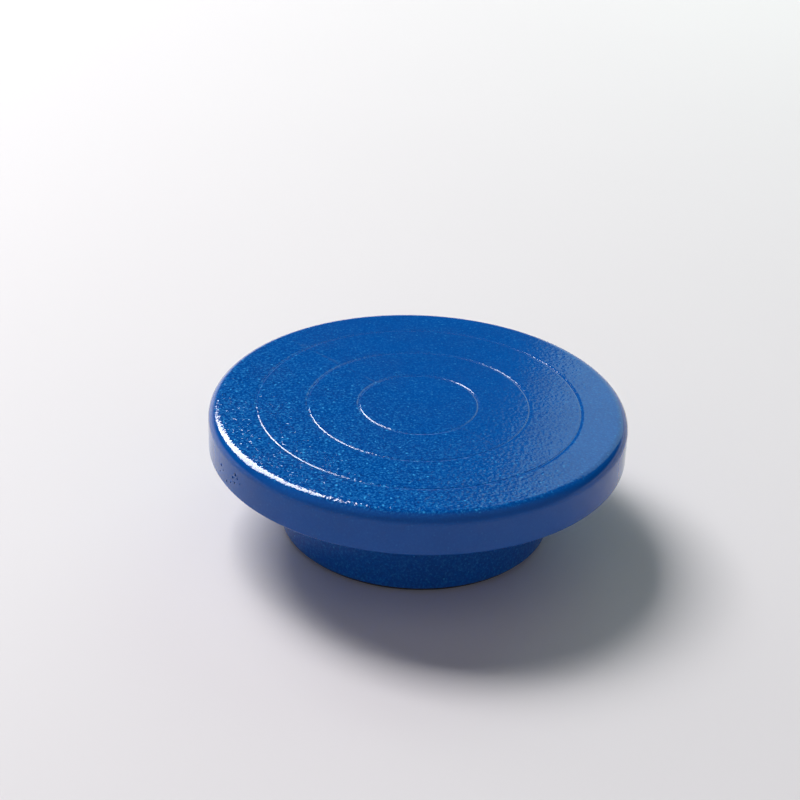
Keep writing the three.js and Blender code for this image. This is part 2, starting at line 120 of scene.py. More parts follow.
def rounded(corners: Sequence[Corner], closed: bool) -> list[Point]:
    """Rounds the corners of an outline.

    Args:
        corners: The outline's corners in order.
        closed: Whether the outline closes on itself, rather than ending on the axis.

    Returns:
        The outline's points, with each rounding as a run of short facets.
    """
    points: list[Point] = []
    count = len(corners)
    for i, corner in enumerate(corners):
        here = Vector((corner.r, corner.z))
        is_end = not closed and i in (0, count - 1)
        if corner.rounding <= 0.0 or is_end:
            points.append((here.x, here.y))
            continue
        before = corners[i - 1]
        after = corners[(i + 1) % count]
        back = Vector((before.r, before.z)) - here
        ahead = Vector((after.r, after.z)) - here
        opening = back.angle(ahead)
        cut = corner.rounding / math.tan(opening / 2.0)
        cut = min(cut, 0.48 * back.length, 0.48 * ahead.length)
        radius = cut * math.tan(opening / 2.0)
        bisector = (back.normalized() + ahead.normalized()).normalized()
        centre = here + bisector * (radius / math.sin(opening / 2.0))
        start = here + back.normalized() * cut - centre
        end = here + ahead.normalized() * cut - centre
        turn = start.angle_signed(end)
        steps = max(2, math.ceil(abs(turn) / ROUNDING_STEP))
        for step in range(steps + 1):
            spoke = start.copy()
            spoke.rotate(Matrix.Rotation(-turn * step / steps, 2))
            points.append((centre.x + spoke.x, centre.y + spoke.y))
    return points


def arc(centre: Point, radius: float, start: float, end: float, steps: int) -> list[Corner]:
    """Corners along a circular arc, both ends included.

    Args:
        centre: Distance from the axis and height of the arc's centre.
        radius: Radius of the arc.
        start: First angle, in radians from the outward direction.
        end: Last angle.
        steps: Number of facets.

    Returns:
        The arc's corners.
    """
    angles = (start + (end - start) * i / steps for i in range(steps + 1))
    return [Corner(centre[0] + radius * math.cos(a), centre[1] + radius * math.sin(a)) for a in angles]


def new_object(name: str, mesh: bpy.types.Mesh) -> bpy.types.Object:
    """Puts a mesh in the scene as a named object.

    Args:
        name: Name of the object.
        mesh: Its mesh.

    Returns:
        The new object.
    """
    made = bpy.data.objects.new(name, mesh)
    bpy.context.scene.collection.objects.link(made)
    return made


def from_bmesh(name: str, shape: bmesh.types.BMesh) -> bpy.types.Object:
    """Turns a bmesh into an object and frees it.

    Args:
        name: Name of the object.
        shape: The finished bmesh.

    Returns:
        The new object, with its faces pointing outwards.
    """
    bmesh.ops.recalc_face_normals(shape, faces=shape.faces)
    mesh = bpy.data.meshes.new(name)
    shape.to_mesh(mesh)
    shape.free()
    return new_object(name, mesh)


def turned(name: str, corners: Sequence[Corner], segments: int, closed: bool) -> bpy.types.Object:
    """Turns an outline about Z, as on a lathe.

    Args:
        name: Name of the object.
        corners: The outline's corners.
        segments: Number of facets round the axis.
        closed: Whether the outline is a ring's section, rather than one that ends on the axis.

    Returns:
        The turned solid.
    """
    shape = bmesh.new()
    outline = rounded(corners, closed)
    rows: list[list[bmesh.types.BMVert]] = []
    for r, z in outline:
        if r < AXIS_LIMIT:
            rows.append([shape.verts.new((0.0, 0.0, z))])
            continue
        angles = (TAU * i / segments for i in range(segments))
        rows.append([shape.verts.new((r * math.cos(a), r * math.sin(a), z)) for a in angles])
    pairs = list(zip(rows, rows[1:]))
    if closed:
        pairs.append((rows[-1], rows[0]))
    for low, high in pairs:
        for i in range(segments):
            j = (i + 1) % segments
            ring = [low[i % len(low)], low[j % len(low)], high[j % len(high)], high[i % len(high)]]
            face = list(dict.fromkeys(ring))
            if len(face) > 2:
                shape.faces.new(face)
    return from_bmesh(name, shape)


def merged(name: str, parts: Sequence[bpy.types.Object]) -> bpy.types.Object:
    """Puts several solids that don't touch into one object.

    Args:
        name: Name of the new object.
        parts: The solids, which are removed.

    Returns:
        The joined object.
    """
    shape = bmesh.new()
    for part in parts:
        shape.from_mesh(part.data)
        bpy.data.objects.remove(part)
    return from_bmesh(name, shape)


def reshape(target: bpy.types.Object, tool: bpy.types.Object, how: Join) -> None:
    """Joins a tool to a solid, or cuts it away.

    Args:
        target: The solid that changes.
        tool: The other solid, which is removed.
        how: Whether the tool is added or cut away.
    """
    modifier = target.modifiers.new("reshape", "BOOLEAN")
    modifier.operation = how.value
    modifier.solver = "EXACT"
    modifier.object = tool
    graph = bpy.context.evaluated_depsgraph_get()
    result = bpy.data.meshes.new_from_object(target.evaluated_get(graph))
    target.modifiers.clear()
    target.data = result
    bpy.data.objects.remove(tool)


def shade(piece: bpy.types.Object) -> None:
    """Shades a piece smoothly, with crisp lines where its faces meet at a steep angle.

    Args:
        piece: The piece, whose mesh and modifiers are changed.
    """
    mesh = piece.data
    mesh.shade_smooth()
    mesh.set_sharp_from_angle(angle=SHARP_ANGLE)
    weighted = piece.modifiers.new("even_shading", "WEIGHTED_NORMAL")
    weighted.keep_sharp = True


def places(count: int, radius: float, start: float = 0.0) -> Iterator[tuple[float, float, float]]:
    """Evenly spaced places on a circle about Z.

    Args:
        count: Number of places.
        radius: Radius of the circle.
        start: Angle of the first place.

    Yields:
        Each place's angle, x and y.
    """
    for i in range(count):
        angle = start + TAU * i / count
        yield angle, radius * math.cos(angle), radius * math.sin(angle)


def rod(radius: float, bottom: float, top: float, x: float, y: float, segments: int) -> bpy.types.Object:
    """Upright round tool for adding a boss or cutting a hole.

    Args:
        radius: Radius of the tool.
        bottom: Height of its lower end.
        top: Height of its upper end.
        x: Place of its axis along X.
        y: Place of its axis along Y.
        segments: Number of facets round it.

    Returns:
        The tool.
    """
    corners = [Corner(0.0, bottom), Corner(radius, bottom), Corner(radius, top), Corner(0.0, top)]
    made = turned("tool", corners, segments, closed=False)
    made.data.transform(Matrix.Translation((x, y, 0.0)))
    return made


def dimple(radius: float, x: float, y: float, z: float) -> bpy.types.Object:
    """Round tool for cutting a pinhole.

    Args:
        radius: Radius of the tool.
        x: Place of its centre along X.
        y: Place of its centre along Y.
        z: Height of its centre.

    Returns:
        The tool.
    """
    end = 0.45 * math.pi
    inner = arc((0.0, 0.0), radius, -end, end, 6)
    made = turned("tool", [Corner(0.0, -radius), *inner, Corner(0.0, radius)], 14, closed=False)
    made.data.transform(Matrix.Translation((x, y, z)))
    return made


def web(
    start: float, end: float, thickness: float, bottom: float, top: float, angle: float
) -> bpy.types.Object:
    """Radial rib that narrows a little towards its free lower edge.

    Args:
        start: Radius where the rib starts.
        end: Radius where it ends.
        thickness: Thickness at its root.
        bottom: Height of its free edge.
        top: Height of its root.
        angle: Direction of the rib about Z.

    Returns:
        The rib.
    """
    shape = bmesh.new()
    section = [(-0.5, top), (-0.36, bottom + 0.3 * MM), (-0.26, bottom)]
    section += [(-side, z) for side, z in reversed(section)]
    ends = [[shape.verts.new((r, side * thickness, z)) for side, z in section] for r in (start, end)]
    shape.faces.new(ends[0])
    shape.faces.new(list(reversed(ends[1])))
    count = len(section)
    for i in range(count):
        j = (i + 1) % count
        shape.faces.new([ends[0][j], ends[0][i], ends[1][i], ends[1][j]])
    shape.transform(Matrix.Rotation(angle, 4, "Z"))
    return from_bmesh("rib", shape)


# ---------------------------------------------------------------------------------------------
# Shader building blocks
# ---------------------------------------------------------------------------------------------


class NodeSheet:
    """A node tree with short calls for the nodes that the finishes use."""

    def __init__(self, tree: bpy.types.NodeTree) -> None:
        """Wraps a node tree."""
        self.tree = tree

    def node(self, kind: str, **settings: object) -> bpy.types.Node:
        """Adds a node.

        Args:
            kind: The node's type name.
            **settings: Its properties.

        Returns:
            The new node.
        """
        made = self.tree.nodes.new(kind)
        for name, value in settings.items():
            setattr(made, name, value)
        return made

    def feed(self, socket: bpy.types.NodeSocket, value: object) -> None:
        """Links a socket to another, or sets its value.

        Args:
            socket: The input that is fed.
            value: The output that feeds it, or a plain value.
        """
        if isinstance(value, bpy.types.NodeSocket):
            self.tree.links.new(value, socket)
        else:
            socket.default_value = value

    def math(
        self, operation: str, first: object, second: object = 0.0, clamp: bool = False
    ) -> bpy.types.NodeSocket:
        """Adds a Math node.

        Args:
            operation: What it does, such as MULTIPLY.
            first: First value or socket.
            second: Second value or socket.
            clamp: Whether the result is kept between 0 and 1.

        Returns:
            Its result.
        """
        made = self.node("ShaderNodeMath", operation=operation, use_clamp=clamp)
        self.feed(made.inputs[0], first)
        self.feed(made.inputs[1], second)
        return made.outputs[0]

    def ramp(
        self, value: object, low: object, high: object, start: object = 0.0, end: object = 1.0
    ) -> bpy.types.NodeSocket:
        """Adds a smooth Map Range node.

        Args:
            value: Value or socket to map.
            low: Value that maps to start.
            high: Value that maps to end.
            start: Result at low.
            end: Result at high.

        Returns:
            Its result.
        """
        made = self.node("ShaderNodeMapRange", interpolation_type="SMOOTHSTEP")
        given = {"Value": value, "From Min": low, "From Max": high, "To Min": start, "To Max": end}
        for name, source in given.items():
            self.feed(made.inputs[name], source)
        return made.outputs["Result"]

    def mix(self, share: object, first: object, second: object) -> bpy.types.NodeSocket:
        """Adds a Mix node for colours.

        Args:
            share: Share of the second colour.
            first: First colour or socket.
            second: Second colour or socket.

        Returns:
            The mixed colour.
        """
        made = self.node("ShaderNodeMix", data_type="RGBA")
        self.feed(made.inputs[0], share)
        self.feed(made.inputs[6], rgba(first))
        self.feed(made.inputs[7], rgba(second))
        return made.outputs[2]

    def noise(
        self, scale: object, detail: float, vector: object, roughness: float = 0.5
    ) -> bpy.types.NodeSocket:
        """Adds a Noise Texture node.

        Args:
            scale: Repeats per metre.
            detail: Number of finer layers.
            vector: Where it is read.
            roughness: Strength of the finer layers.

        Returns:
            Its value.
        """
        made = self.node("ShaderNodeTexNoise")
        self.feed(made.inputs["Scale"], scale)
        self.feed(made.inputs["Detail"], detail)
        self.feed(made.inputs["Roughness"], roughness)
        self.feed(made.inputs["Vector"], vector)
        return made.outputs["Fac"]

    def place(self, kind: str = "Object") -> bpy.types.NodeSocket:
        """Adds a Texture Coordinate node and returns one of its outputs."""
        return self.node("ShaderNodeTexCoord").outputs[kind]


def rgba(value: object) -> object:
    """Adds a full alpha to a plain colour, and leaves a socket as it is.

    Args:
        value: A colour of three numbers, or a socket.

    Returns:
        The colour with four numbers, or the same socket.
    """
    if isinstance(value, bpy.types.NodeSocket):
        return value
    return (*value, 1.0)


class ShaderGroup(ABC):
    """A shader node group with named inputs and outputs, built once."""

    name: str = ""
    inputs: dict[str, float] = {}
    outputs: tuple[str, ...] = ()

    @classmethod
    def tree(cls) -> bpy.types.NodeTree:
        """Finds the group's node tree, or makes it the first time it is asked for.

        Returns:
            The node tree.
        """
        found = bpy.data.node_groups.get(cls.name)
        if found:
            return found
        made = bpy.data.node_groups.new(cls.name, "ShaderNodeTree")
        for name, value in cls.inputs.items():
            socket = made.interface.new_socket(name=name, in_out="INPUT", socket_type="NodeSocketFloat")
            socket.default_value = value
        for name in cls.outputs:
            made.interface.new_socket(name=name, in_out="OUTPUT", socket_type="NodeSocketFloat")
        sheet = NodeSheet(made)
        given = sheet.node("NodeGroupInput").outputs
        results = cls.wire(sheet, given)
        out = sheet.node("NodeGroupOutput").inputs
        for name, socket in results.items():
            sheet.feed(out[name], socket)
        return made

    @classmethod
    @abstractmethod
    def wire(cls, sheet: NodeSheet, given: bpy.types.NodeOutputs) -> dict[str, bpy.types.NodeSocket]:
        """Wires the group's nodes.

        Args:
            sheet: The group's node tree.
            given: The group's inputs.

        Returns:
            The socket for each output.
        """

    @classmethod
    def use(cls, sheet: NodeSheet, **values: float) -> bpy.types.NodeOutputs:
        """Places the group in a material.

        Args:
            sheet: The material's node tree.
            **values: Values for the group's inputs, with _ for a space in a name.

        Returns:
            The group's outputs.
        """
        node = sheet.node("ShaderNodeGroup", node_tree=cls.tree())
        for name, value in values.items():
            sheet.feed(node.inputs[name.replace("_", " ")], value)
        return node.outputs


class PeelWithPaintedGlintsAndShade(ShaderGroup):
    """The pebbled skin of thick gloss enamel, with painted glints and painted shade specks in its colour.

    A gradient across the wheel, 1 at the front left where the key light falls, sets how strong the painted
    glints and shade are. It starts to sink at the first distance of lit_side_fade, in metres, and is lowest
    from the second one on. Enamel also dulls the gloss and flattens the pebbles with it.
    """

    name = "peel_painted_glints_and_shade"
    inputs = {"Cell Size": 0.0008, "Fleck Share": 0.1, "Level": 1.0, "Thin Level": 0.5}
    outputs = ("Height", "Painted Glint", "Painted Shade", "Thickness")
    across_slope: float = 0.9
    lit_side_fade: Point = (-0.07, 0.03)

    @classmethod
    def wire(cls, sheet: NodeSheet, given: bpy.types.NodeOutputs) -> dict[str, bpy.types.NodeSocket]:
        """Wires the pebbles, the lit-side gradient, the painted shade specks and the painted glints.

        Args:
            sheet: The group's node sheet.
            given: The group's inputs.

        Returns:
            The sockets that feed the group's outputs, by name.
        """
        place = sheet.place()
        scale = sheet.math("DIVIDE", 1.0, given["Cell Size"])
        # Lit-side gradient: 1 at the front left, where the key light falls; it scales the painted glints
        # and shade.
        thickness = cls.thickness(sheet, place, given["Thin Level"])
        level = sheet.math("MULTIPLY", given["Level"], thickness)
        painted_speckle = sheet.noise(sheet.math("MULTIPLY", scale, 1.25), 2.0, place, 0.7)
        # Painted glints: the lighter part of the speckle noise joins the bright specks that stand for
        # glints.
        light = sheet.math("MULTIPLY", sheet.ramp(painted_speckle, 0.48, 0.74), 0.5)
        # Painted shade: the darker part of the speckle noise gives dark specks that stand for shade.
        dark = sheet.ramp(painted_speckle, 0.5, 0.3)
        painted_glint = cls.painted_glint(sheet, place, scale, painted_speckle, given["Fleck Share"])
        return {
            "Height": cls.pebbles(sheet, place, scale),
            "Painted Glint": sheet.math("MULTIPLY", sheet.math("MAXIMUM", painted_glint, light), level),
            "Painted Shade": sheet.math("MULTIPLY", dark, level),
            "Thickness": thickness,
        }

    @staticmethod
    def pebbles(
        sheet: NodeSheet, place: bpy.types.NodeSocket, scale: bpy.types.NodeSocket
    ) -> bpy.types.NodeSocket:
        """Wires soft domes on a slower ripple.

        Args:
            sheet: The group's node sheet.
            place: Where the pattern is read.
            scale: Cells per metre.

        Returns:
            The height of the skin, from 0 to about 1.
        """
        cells = sheet.node("ShaderNodeTexVoronoi", feature="SMOOTH_F1")
        sheet.feed(cells.inputs["Scale"], scale)
        sheet.feed(cells.inputs["Vector"], place)
        sheet.feed(cells.inputs["Smoothness"], 0.6)
        ripple = sheet.noise(sheet.math("MULTIPLY", scale, 0.55), 2.0, place)
        dome = sheet.math("SUBTRACT", 1.0, cells.outputs["Distance"])
        return sheet.math("ADD", sheet.math("MULTIPLY", dome, 0.55), sheet.math("MULTIPLY", ripple, 0.75))

    @classmethod
    def thickness(
        cls, sheet: NodeSheet, place: bpy.types.NodeSocket, far_right: bpy.types.NodeSocket
    ) -> bpy.types.NodeSocket:
        """Wires the lit-side gradient, which falls across the wheel away from the key light.

        Args:
            sheet: The group's node sheet.
            place: Where it is read.
            far_right: Level of the gradient at the far right.

        Returns:
            The gradient, from the far right level to 1.
        """
        split = sheet.node("ShaderNodeSeparateXYZ")
        sheet.feed(split.inputs[0], place)
        away = sheet.math("MULTIPLY", split.outputs["Y"], cls.across_slope)
        across_wheel = sheet.math("ADD", split.outputs["X"], away)
        return sheet.ramp(across_wheel, *cls.lit_side_fade, 1.0, far_right)

    @staticmethod
    def painted_glint(
        sheet: NodeSheet,
        place: bpy.types.NodeSocket,
        scale: bpy.types.NodeSocket,
        painted_speckle: bpy.types.NodeSocket,
        share: bpy.types.NodeSocket,
    ) -> bpy.types.NodeSocket:
        """Wires ragged painted glints: bright spots on the cells that chance picks.

        Args:
            sheet: The group's node sheet.
            place: Where the pattern is read.
            scale: Cells per metre.
            painted_speckle: Noise of the painted speckle, which makes the spots ragged.
            share: Share of the cells that is picked.

        Returns:
            The strength of the spots.
        """
        cells = sheet.node("ShaderNodeTexVoronoi")
        sheet.feed(cells.inputs["Scale"], sheet.math("MULTIPLY", scale, 0.9))
        sheet.feed(cells.inputs["Vector"], place)
        chance = sheet.node("ShaderNodeSeparateColor")
        sheet.feed(chance.inputs[0], cells.outputs["Color"])
        picked = sheet.ramp(chance.outputs[0], sheet.math("SUBTRACT", 1.0, share), 1.0)
        shift = sheet.math("SUBTRACT", painted_speckle, 0.5)
        ragged = sheet.math("SUBTRACT", cells.outputs["Distance"], shift)
        return sheet.math("MULTIPLY", picked, sheet.ramp(ragged, 0.5, 0.1))


class Patches(ShaderGroup):
    """Slow, cloudy variation over a surface."""

    name = "patches"
    inputs = {"Patch Size": 0.02}
    outputs = ("Value",)

    @classmethod
    def wire(cls, sheet: NodeSheet, given: bpy.types.NodeOutputs) -> dict[str, bpy.types.NodeSocket]:
        """Wires one soft noise and spreads it from 0 to 1."""
        scale = sheet.math("DIVIDE", 1.0, given["Patch Size"])
        return {"Value": sheet.ramp(sheet.noise(scale, 3.0, sheet.place()), 0.3, 0.7)}


class EdgeWear(ShaderGroup):
    """Mask of outer edges that are rubbed thin, broken up by noise."""

    name = "edge_wear"
    inputs = {"Amount": 0.5, "Break Size": 0.002}
    outputs = ("Mask",)

    @classmethod
    def wire(cls, sheet: NodeSheet, given: bpy.types.NodeOutputs) -> dict[str, bpy.types.NodeSocket]:
        """Wires the surface's outward sharpness with a breaking noise.

        Args:
            sheet: The group's node sheet.
            given: The group's inputs.

        Returns:
            The sockets that feed the group's outputs, by name.
        """
        sharpness = sheet.node("ShaderNodeNewGeometry").outputs["Pointiness"]
        ridge = sheet.ramp(sharpness, 0.55, 0.65)
        scale = sheet.math("DIVIDE", 1.0, given["Break Size"])
        broken = sheet.ramp(sheet.noise(scale, 4.0, sheet.place(), 0.6), 0.4, 0.7)
        mask = sheet.math("MULTIPLY", sheet.math("MULTIPLY", ridge, broken), given["Amount"], clamp=True)
        return {"Mask": mask}


class Dust(ShaderGroup):
    """Thin clay dust that settles on faces that look up."""

    name = "settled_dust"
    inputs = {"Amount": 0.1, "Spot Size": 0.006}
    outputs = ("Mask",)

    @classmethod
    def wire(cls, sheet: NodeSheet, given: bpy.types.NodeOutputs) -> dict[str, bpy.types.NodeSocket]:
        """Wires the upward facing share with two noises.

        Args:
            sheet: The group's node sheet.
            given: The group's inputs.

        Returns:
            The sockets that feed the group's outputs, by name.
        """
        facing = sheet.node("ShaderNodeSeparateXYZ")
        sheet.feed(facing.inputs[0], sheet.place("Normal"))
        upward = sheet.ramp(facing.outputs["Z"], 0.2, 0.9)
        scale = sheet.math("DIVIDE", 1.0, given["Spot Size"])
        film = sheet.ramp(sheet.noise(scale, 5.0, sheet.place(), 0.65), 0.35, 0.8)
        mask = sheet.math("MULTIPLY", sheet.math("MULTIPLY", upward, film), given["Amount"], clamp=True)
        return {"Mask": mask}


class TurningMarks(ShaderGroup):
    """Fine rings that a lathe or a grinding wheel leaves about the Z axis."""

    name = "turning_marks"
    inputs = {"Pitch": 0.0002, "Level": 1.0}
    outputs = ("Height",)

    @classmethod
    def wire(cls, sheet: NodeSheet, given: bpy.types.NodeOutputs) -> dict[str, bpy.types.NodeSocket]:
        """Wires a noise that is read along the radius and the height only.

        Args:
            sheet: The group's node sheet.
            given: The group's inputs.

        Returns:
            The sockets that feed the group's outputs, by name.
        """
        split = sheet.node("ShaderNodeSeparateXYZ")
        sheet.feed(split.inputs[0], sheet.place())
        flat = sheet.node("ShaderNodeCombineXYZ")
        sheet.feed(flat.inputs[0], split.outputs[0])
        sheet.feed(flat.inputs[1], split.outputs[1])
        radius = sheet.node("ShaderNodeVectorMath", operation="LENGTH")
        sheet.feed(radius.inputs[0], flat.outputs[0])
        along = sheet.node("ShaderNodeCombineXYZ")
        sheet.feed(along.inputs[0], radius.outputs["Value"])
        sheet.feed(along.inputs[1], split.outputs[2])
        scale = sheet.math("DIVIDE", 1.0, given["Pitch"])
        rings = sheet.noise(scale, 2.0, along.outputs[0], 0.7)
        return {"Height": sheet.math("MULTIPLY", rings, given["Level"])}


class Grain(ShaderGroup):
    """Fine even grain, such as a phosphate coat's or moulded rubber's."""

    name = "fine_grain"
    inputs = {"Grain Size": 0.0003}
    outputs = ("Value",)

    @classmethod
    def wire(cls, sheet: NodeSheet, given: bpy.types.NodeOutputs) -> dict[str, bpy.types.NodeSocket]:
        """Wires one fine noise with several layers."""
        scale = sheet.math("DIVIDE", 1.0, given["Grain Size"])
        return {"Value": sheet.noise(scale, 5.0, sheet.place(), 0.6)}


# ---------------------------------------------------------------------------------------------
# Finishes
# ---------------------------------------------------------------------------------------------


def start_material(name: str) -> tuple[bpy.types.Material, NodeSheet, bpy.types.Node]:
    """Makes a material with one Principled shader.

    Args:
        name: Name of the material.

    Returns:
        The material, its node sheet and the shader node.
    """
    material = bpy.data.materials.new(name)
    material.use_nodes = True
    sheet = NodeSheet(material.node_tree)
    shader = material.node_tree.nodes["Principled BSDF"]
    return material, sheet, shader


def add_bump(sheet: NodeSheet, shader: bpy.types.Node, height: bpy.types.NodeSocket, depth: float) -> None:
    """Gives a shader a bumpy surface.

    Args:
        sheet: The material's node sheet.
        shader: Its Principled shader.
        height: The surface's height, from 0 to 1.
        depth: Real depth of the bumps, in metres.
    """
    bump = sheet.node("ShaderNodeBump")
    bump.inputs["Strength"].default_value = 1.0
    bump.inputs["Distance"].default_value = depth
    sheet.feed(bump.inputs["Height"], height)
    sheet.feed(shader.inputs["Normal"], bump.outputs["Normal"])


@dataclass(frozen=True)
class Enamel:
    """Thick blue gloss enamel on a casting.

    Attributes:
        name: Name of the material.
        color: Main colour.
        deep: Colour where the coat is thickest.
        painted_glint: Colour of the painted glints, bright specks that stand for the key light's glints.
        hollow: Colour of the painted shade specks, dark spots that stand for shade in the pebbles' hollows.
        bare: Colour of the primer on rubbed edges.
        dusty: Colour of the clay dust.
        cell: Size of the coat's pebbles, in metres.
        painted_glint_share: Share of the cells that carry a painted glint.
        painted_speckle: Strength of the painted glints and painted shade on the lit front left.
        far_right_speckle: Part of that strength which is left at the far right.
        depth: Depth of the pebbles, in metres.
        thin_depth: Part of that depth which is left at the far right.
        smooth_side: Share of the texture that is gone from faces that look sideways.
        facing_range: Upward parts of a face's direction where the texture starts and is whole.
        patch_size: Size of the slow changes in colour and gloss, in metres.
        gloss: Roughness where the coat is glossiest.
        matt: Roughness where it is dullest.
        thin_dulling: Roughness that is added towards the far right.
        reflection: Level of its mirror reflection, 0.5 for a common lacquer.
        wear: Amount of wear on the edges.
        wear_break: Size of the gaps in the wear, in metres.
        dust: Amount of clay dust.
        dust_spot: Size of the dust's spots, in metres.
    """

    name: str = "blue_enamel"
    color: Color = (0.0, 0.092, 0.405)
    deep: Color = (0.0, 0.082, 0.37)
    painted_glint: Color = (0.05, 0.46, 0.95)
    hollow: Color = (0.0, 0.04, 0.21)
    bare: Color = (0.05, 0.12, 0.28)
    dusty: Color = (0.3, 0.36, 0.45)
    cell: float = 0.8 * MM
    painted_glint_share: float = 0.2
    painted_speckle: float = 1.0
    far_right_speckle: float = 0.25
    depth: float = 0.1 * MM
    thin_depth: float = 0.25
    smooth_side: float = 0.9
    facing_range: Point = (0.72, 0.985)
    patch_size: float = 18.0 * MM
    gloss: float = 0.06
    matt: float = 0.1
    thin_dulling: float = 0.04
    reflection: float = 0.33
    wear: float = 0.35
    wear_break: float = 1.6 * MM
    dust: float = 0.008
    dust_spot: float = 7.0 * MM

    def material(self) -> bpy.types.Material:
        """Builds the finish's material.

        Returns:
            The material.
        """
        material, sheet, shader = start_material(self.name)
        peel = PeelWithPaintedGlintsAndShade.use(
            sheet,
            Cell_Size=self.cell,
            Fleck_Share=self.painted_glint_share,
            Level=self.painted_speckle,
            Thin_Level=self.far_right_speckle,
        )
        patch = Patches.use(sheet, Patch_Size=self.patch_size)["Value"]
        wear = EdgeWear.use(sheet, Amount=self.wear, Break_Size=self.wear_break)["Mask"]
        dust = Dust.use(sheet, Amount=self.dust, Spot_Size=self.dust_spot)["Mask"]
        textured = self.textured(sheet)
        color = sheet.mix(patch, self.color, self.deep)
        # Painted shade: dark specks that stand for shade in the pebbles' hollows.
        color = sheet.mix(sheet.math("MULTIPLY", peel["Painted Shade"], textured), color, self.hollow)
        # Painted glints: bright specks that stand for glints of the key light on the pebbles.
        color = sheet.mix(sheet.math("MULTIPLY", peel["Painted Glint"], textured), color, self.painted_glint)
        color = sheet.mix(wear, color, self.bare)
        color = sheet.mix(dust, color, self.dusty)
        sheet.feed(shader.inputs["Base Color"], color)
        dulling = sheet.ramp(peel["Thickness"], 0.25, 1.0, self.thin_dulling, 0.0)
        shine = sheet.ramp(patch, 0.0, 1.0, self.gloss, self.matt)
        sheet.feed(shader.inputs["Roughness"], sheet.math("ADD", shine, dulling))
        shader.inputs["Specular IOR Level"].default_value = self.reflection
        deepness = sheet.ramp(peel["Thickness"], 0.0, 1.0, self.thin_depth, 1.0)
        pebbled = sheet.math("MULTIPLY", textured, deepness)
        add_bump(sheet, shader, sheet.math("MULTIPLY", peel["Height"], pebbled), self.depth)
        return material

    def textured(self, sheet: NodeSheet) -> bpy.types.NodeSocket:
        """Wires how much texture a face shows: all of it on a level face, less on an upright one.

        Args:
            sheet: The material's node sheet.

        Returns:
            The share of the texture that shows.
        """
        facing = sheet.node("ShaderNodeSeparateXYZ")
        sheet.feed(facing.inputs[0], sheet.place("Normal"))
        level = sheet.math("ABSOLUTE", facing.outputs["Z"])
        return sheet.ramp(level, *self.facing_range, 1.0 - self.smooth_side, 1.0)


@dataclass(frozen=True)
class Steel:
    """Bare or plated steel, turned or ground about the axis.

    Attributes:
        name: Name of the material.
        color: Main colour.
        stain: Colour of the duller patches.
        bright: Colour of rubbed edges.
        gloss: Roughness of the brightest parts.
        matt: Roughness of the dullest parts.
        metallic: Share of metal in the surface.
        pitch: Spacing of the turning marks, in metres.
        marks: Depth of the turning marks, in metres.
        stain_share: Strength of the duller patches.
        patch_size: Size of those patches, in metres.
        wear: Amount of wear on the edges.
        wear_break: Size of the gaps in the wear, in metres.
        grain: Size of the metal's grain, in metres.
        grain_share: Height of the grain beside that of the turning marks.
    """

    name: str
    color: Color
    stain: Color
    bright: Color = (0.85, 0.86, 0.87)
    gloss: float = 0.18
    matt: float = 0.34
    metallic: float = 1.0
    pitch: float = 0.25 * MM
    marks: float = 0.006 * MM
    stain_share: float = 0.6
    patch_size: float = 5.0 * MM
    wear: float = 0.6
    wear_break: float = 0.8 * MM
    grain: float = 0.15 * MM
    grain_share: float = 0.4

    def material(self) -> bpy.types.Material:
        """Builds the finish's material.

        Returns:
            The material.
        """
        material, sheet, shader = start_material(self.name)
        patch = Patches.use(sheet, Patch_Size=self.patch_size)["Value"]
        wear = EdgeWear.use(sheet, Amount=self.wear, Break_Size=self.wear_break)["Mask"]
        marks = TurningMarks.use(sheet, Pitch=self.pitch, Level=1.0)["Height"]
        grain = Grain.use(sheet, Grain_Size=self.grain)["Value"]
        color = sheet.mix(sheet.math("MULTIPLY", patch, self.stain_share), self.color, self.stain)
        color = sheet.mix(wear, color, self.bright)
        sheet.feed(shader.inputs["Base Color"], color)
        blend = sheet.math("MULTIPLY", sheet.math("ADD", patch, marks), 0.5)
        sheet.feed(shader.inputs["Roughness"], sheet.ramp(blend, 0.0, 1.0, self.gloss, self.matt))
        shader.inputs["Metallic"].default_value = self.metallic
        rough = sheet.math("MULTIPLY", grain, self.grain_share)
        add_bump(sheet, shader, sheet.math("ADD", marks, rough), self.marks)
        return material


@dataclass(frozen=True)
class Rubber:
    """Matt moulded rubber.

    Attributes:
        name: Name of the material.
        color: Main colour.
        scuffed: Colour of scuffed edges.
        dusty: Colour of the dust on it.
        grain: Size of the moulded grain, in metres.
        grain_depth: Depth of that grain, in metres.
        gloss: Roughness of its smoothest parts.
        matt: Roughness of its dullest parts.
        wear: Amount of scuffing on the edges.
        wear_break: Size of the gaps in the scuffing, in metres.
        patch_size: Size of the dust's patches, in metres.
        dust: Strength of the dust.
    """

    name: str = "black_rubber"
    color: Color = (0.012, 0.012, 0.013)
    scuffed: Color = (0.06, 0.06, 0.062)
    dusty: Color = (0.25, 0.24, 0.23)
    grain: float = 0.35 * MM
    grain_depth: float = 0.03 * MM
    gloss: float = 0.62
    matt: float = 0.82
    wear: float = 0.7
    wear_break: float = 1.2 * MM
    patch_size: float = 9.0 * MM
    dust: float = 0.06

    def material(self) -> bpy.types.Material:
        """Builds the finish's material.

        Returns:
            The material.
        """
        material, sheet, shader = start_material(self.name)
        grain = Grain.use(sheet, Grain_Size=self.grain)["Value"]
        wear = EdgeWear.use(sheet, Amount=self.wear, Break_Size=self.wear_break)["Mask"]
        patch = Patches.use(sheet, Patch_Size=self.patch_size)["Value"]
        color = sheet.mix(wear, self.color, self.scuffed)
        color = sheet.mix(sheet.math("MULTIPLY", patch, self.dust), color, self.dusty)
        sheet.feed(shader.inputs["Base Color"], color)
        sheet.feed(shader.inputs["Roughness"], sheet.ramp(grain, 0.3, 0.7, self.gloss, self.matt))
        add_bump(sheet, shader, grain, self.grain_depth)
        return material


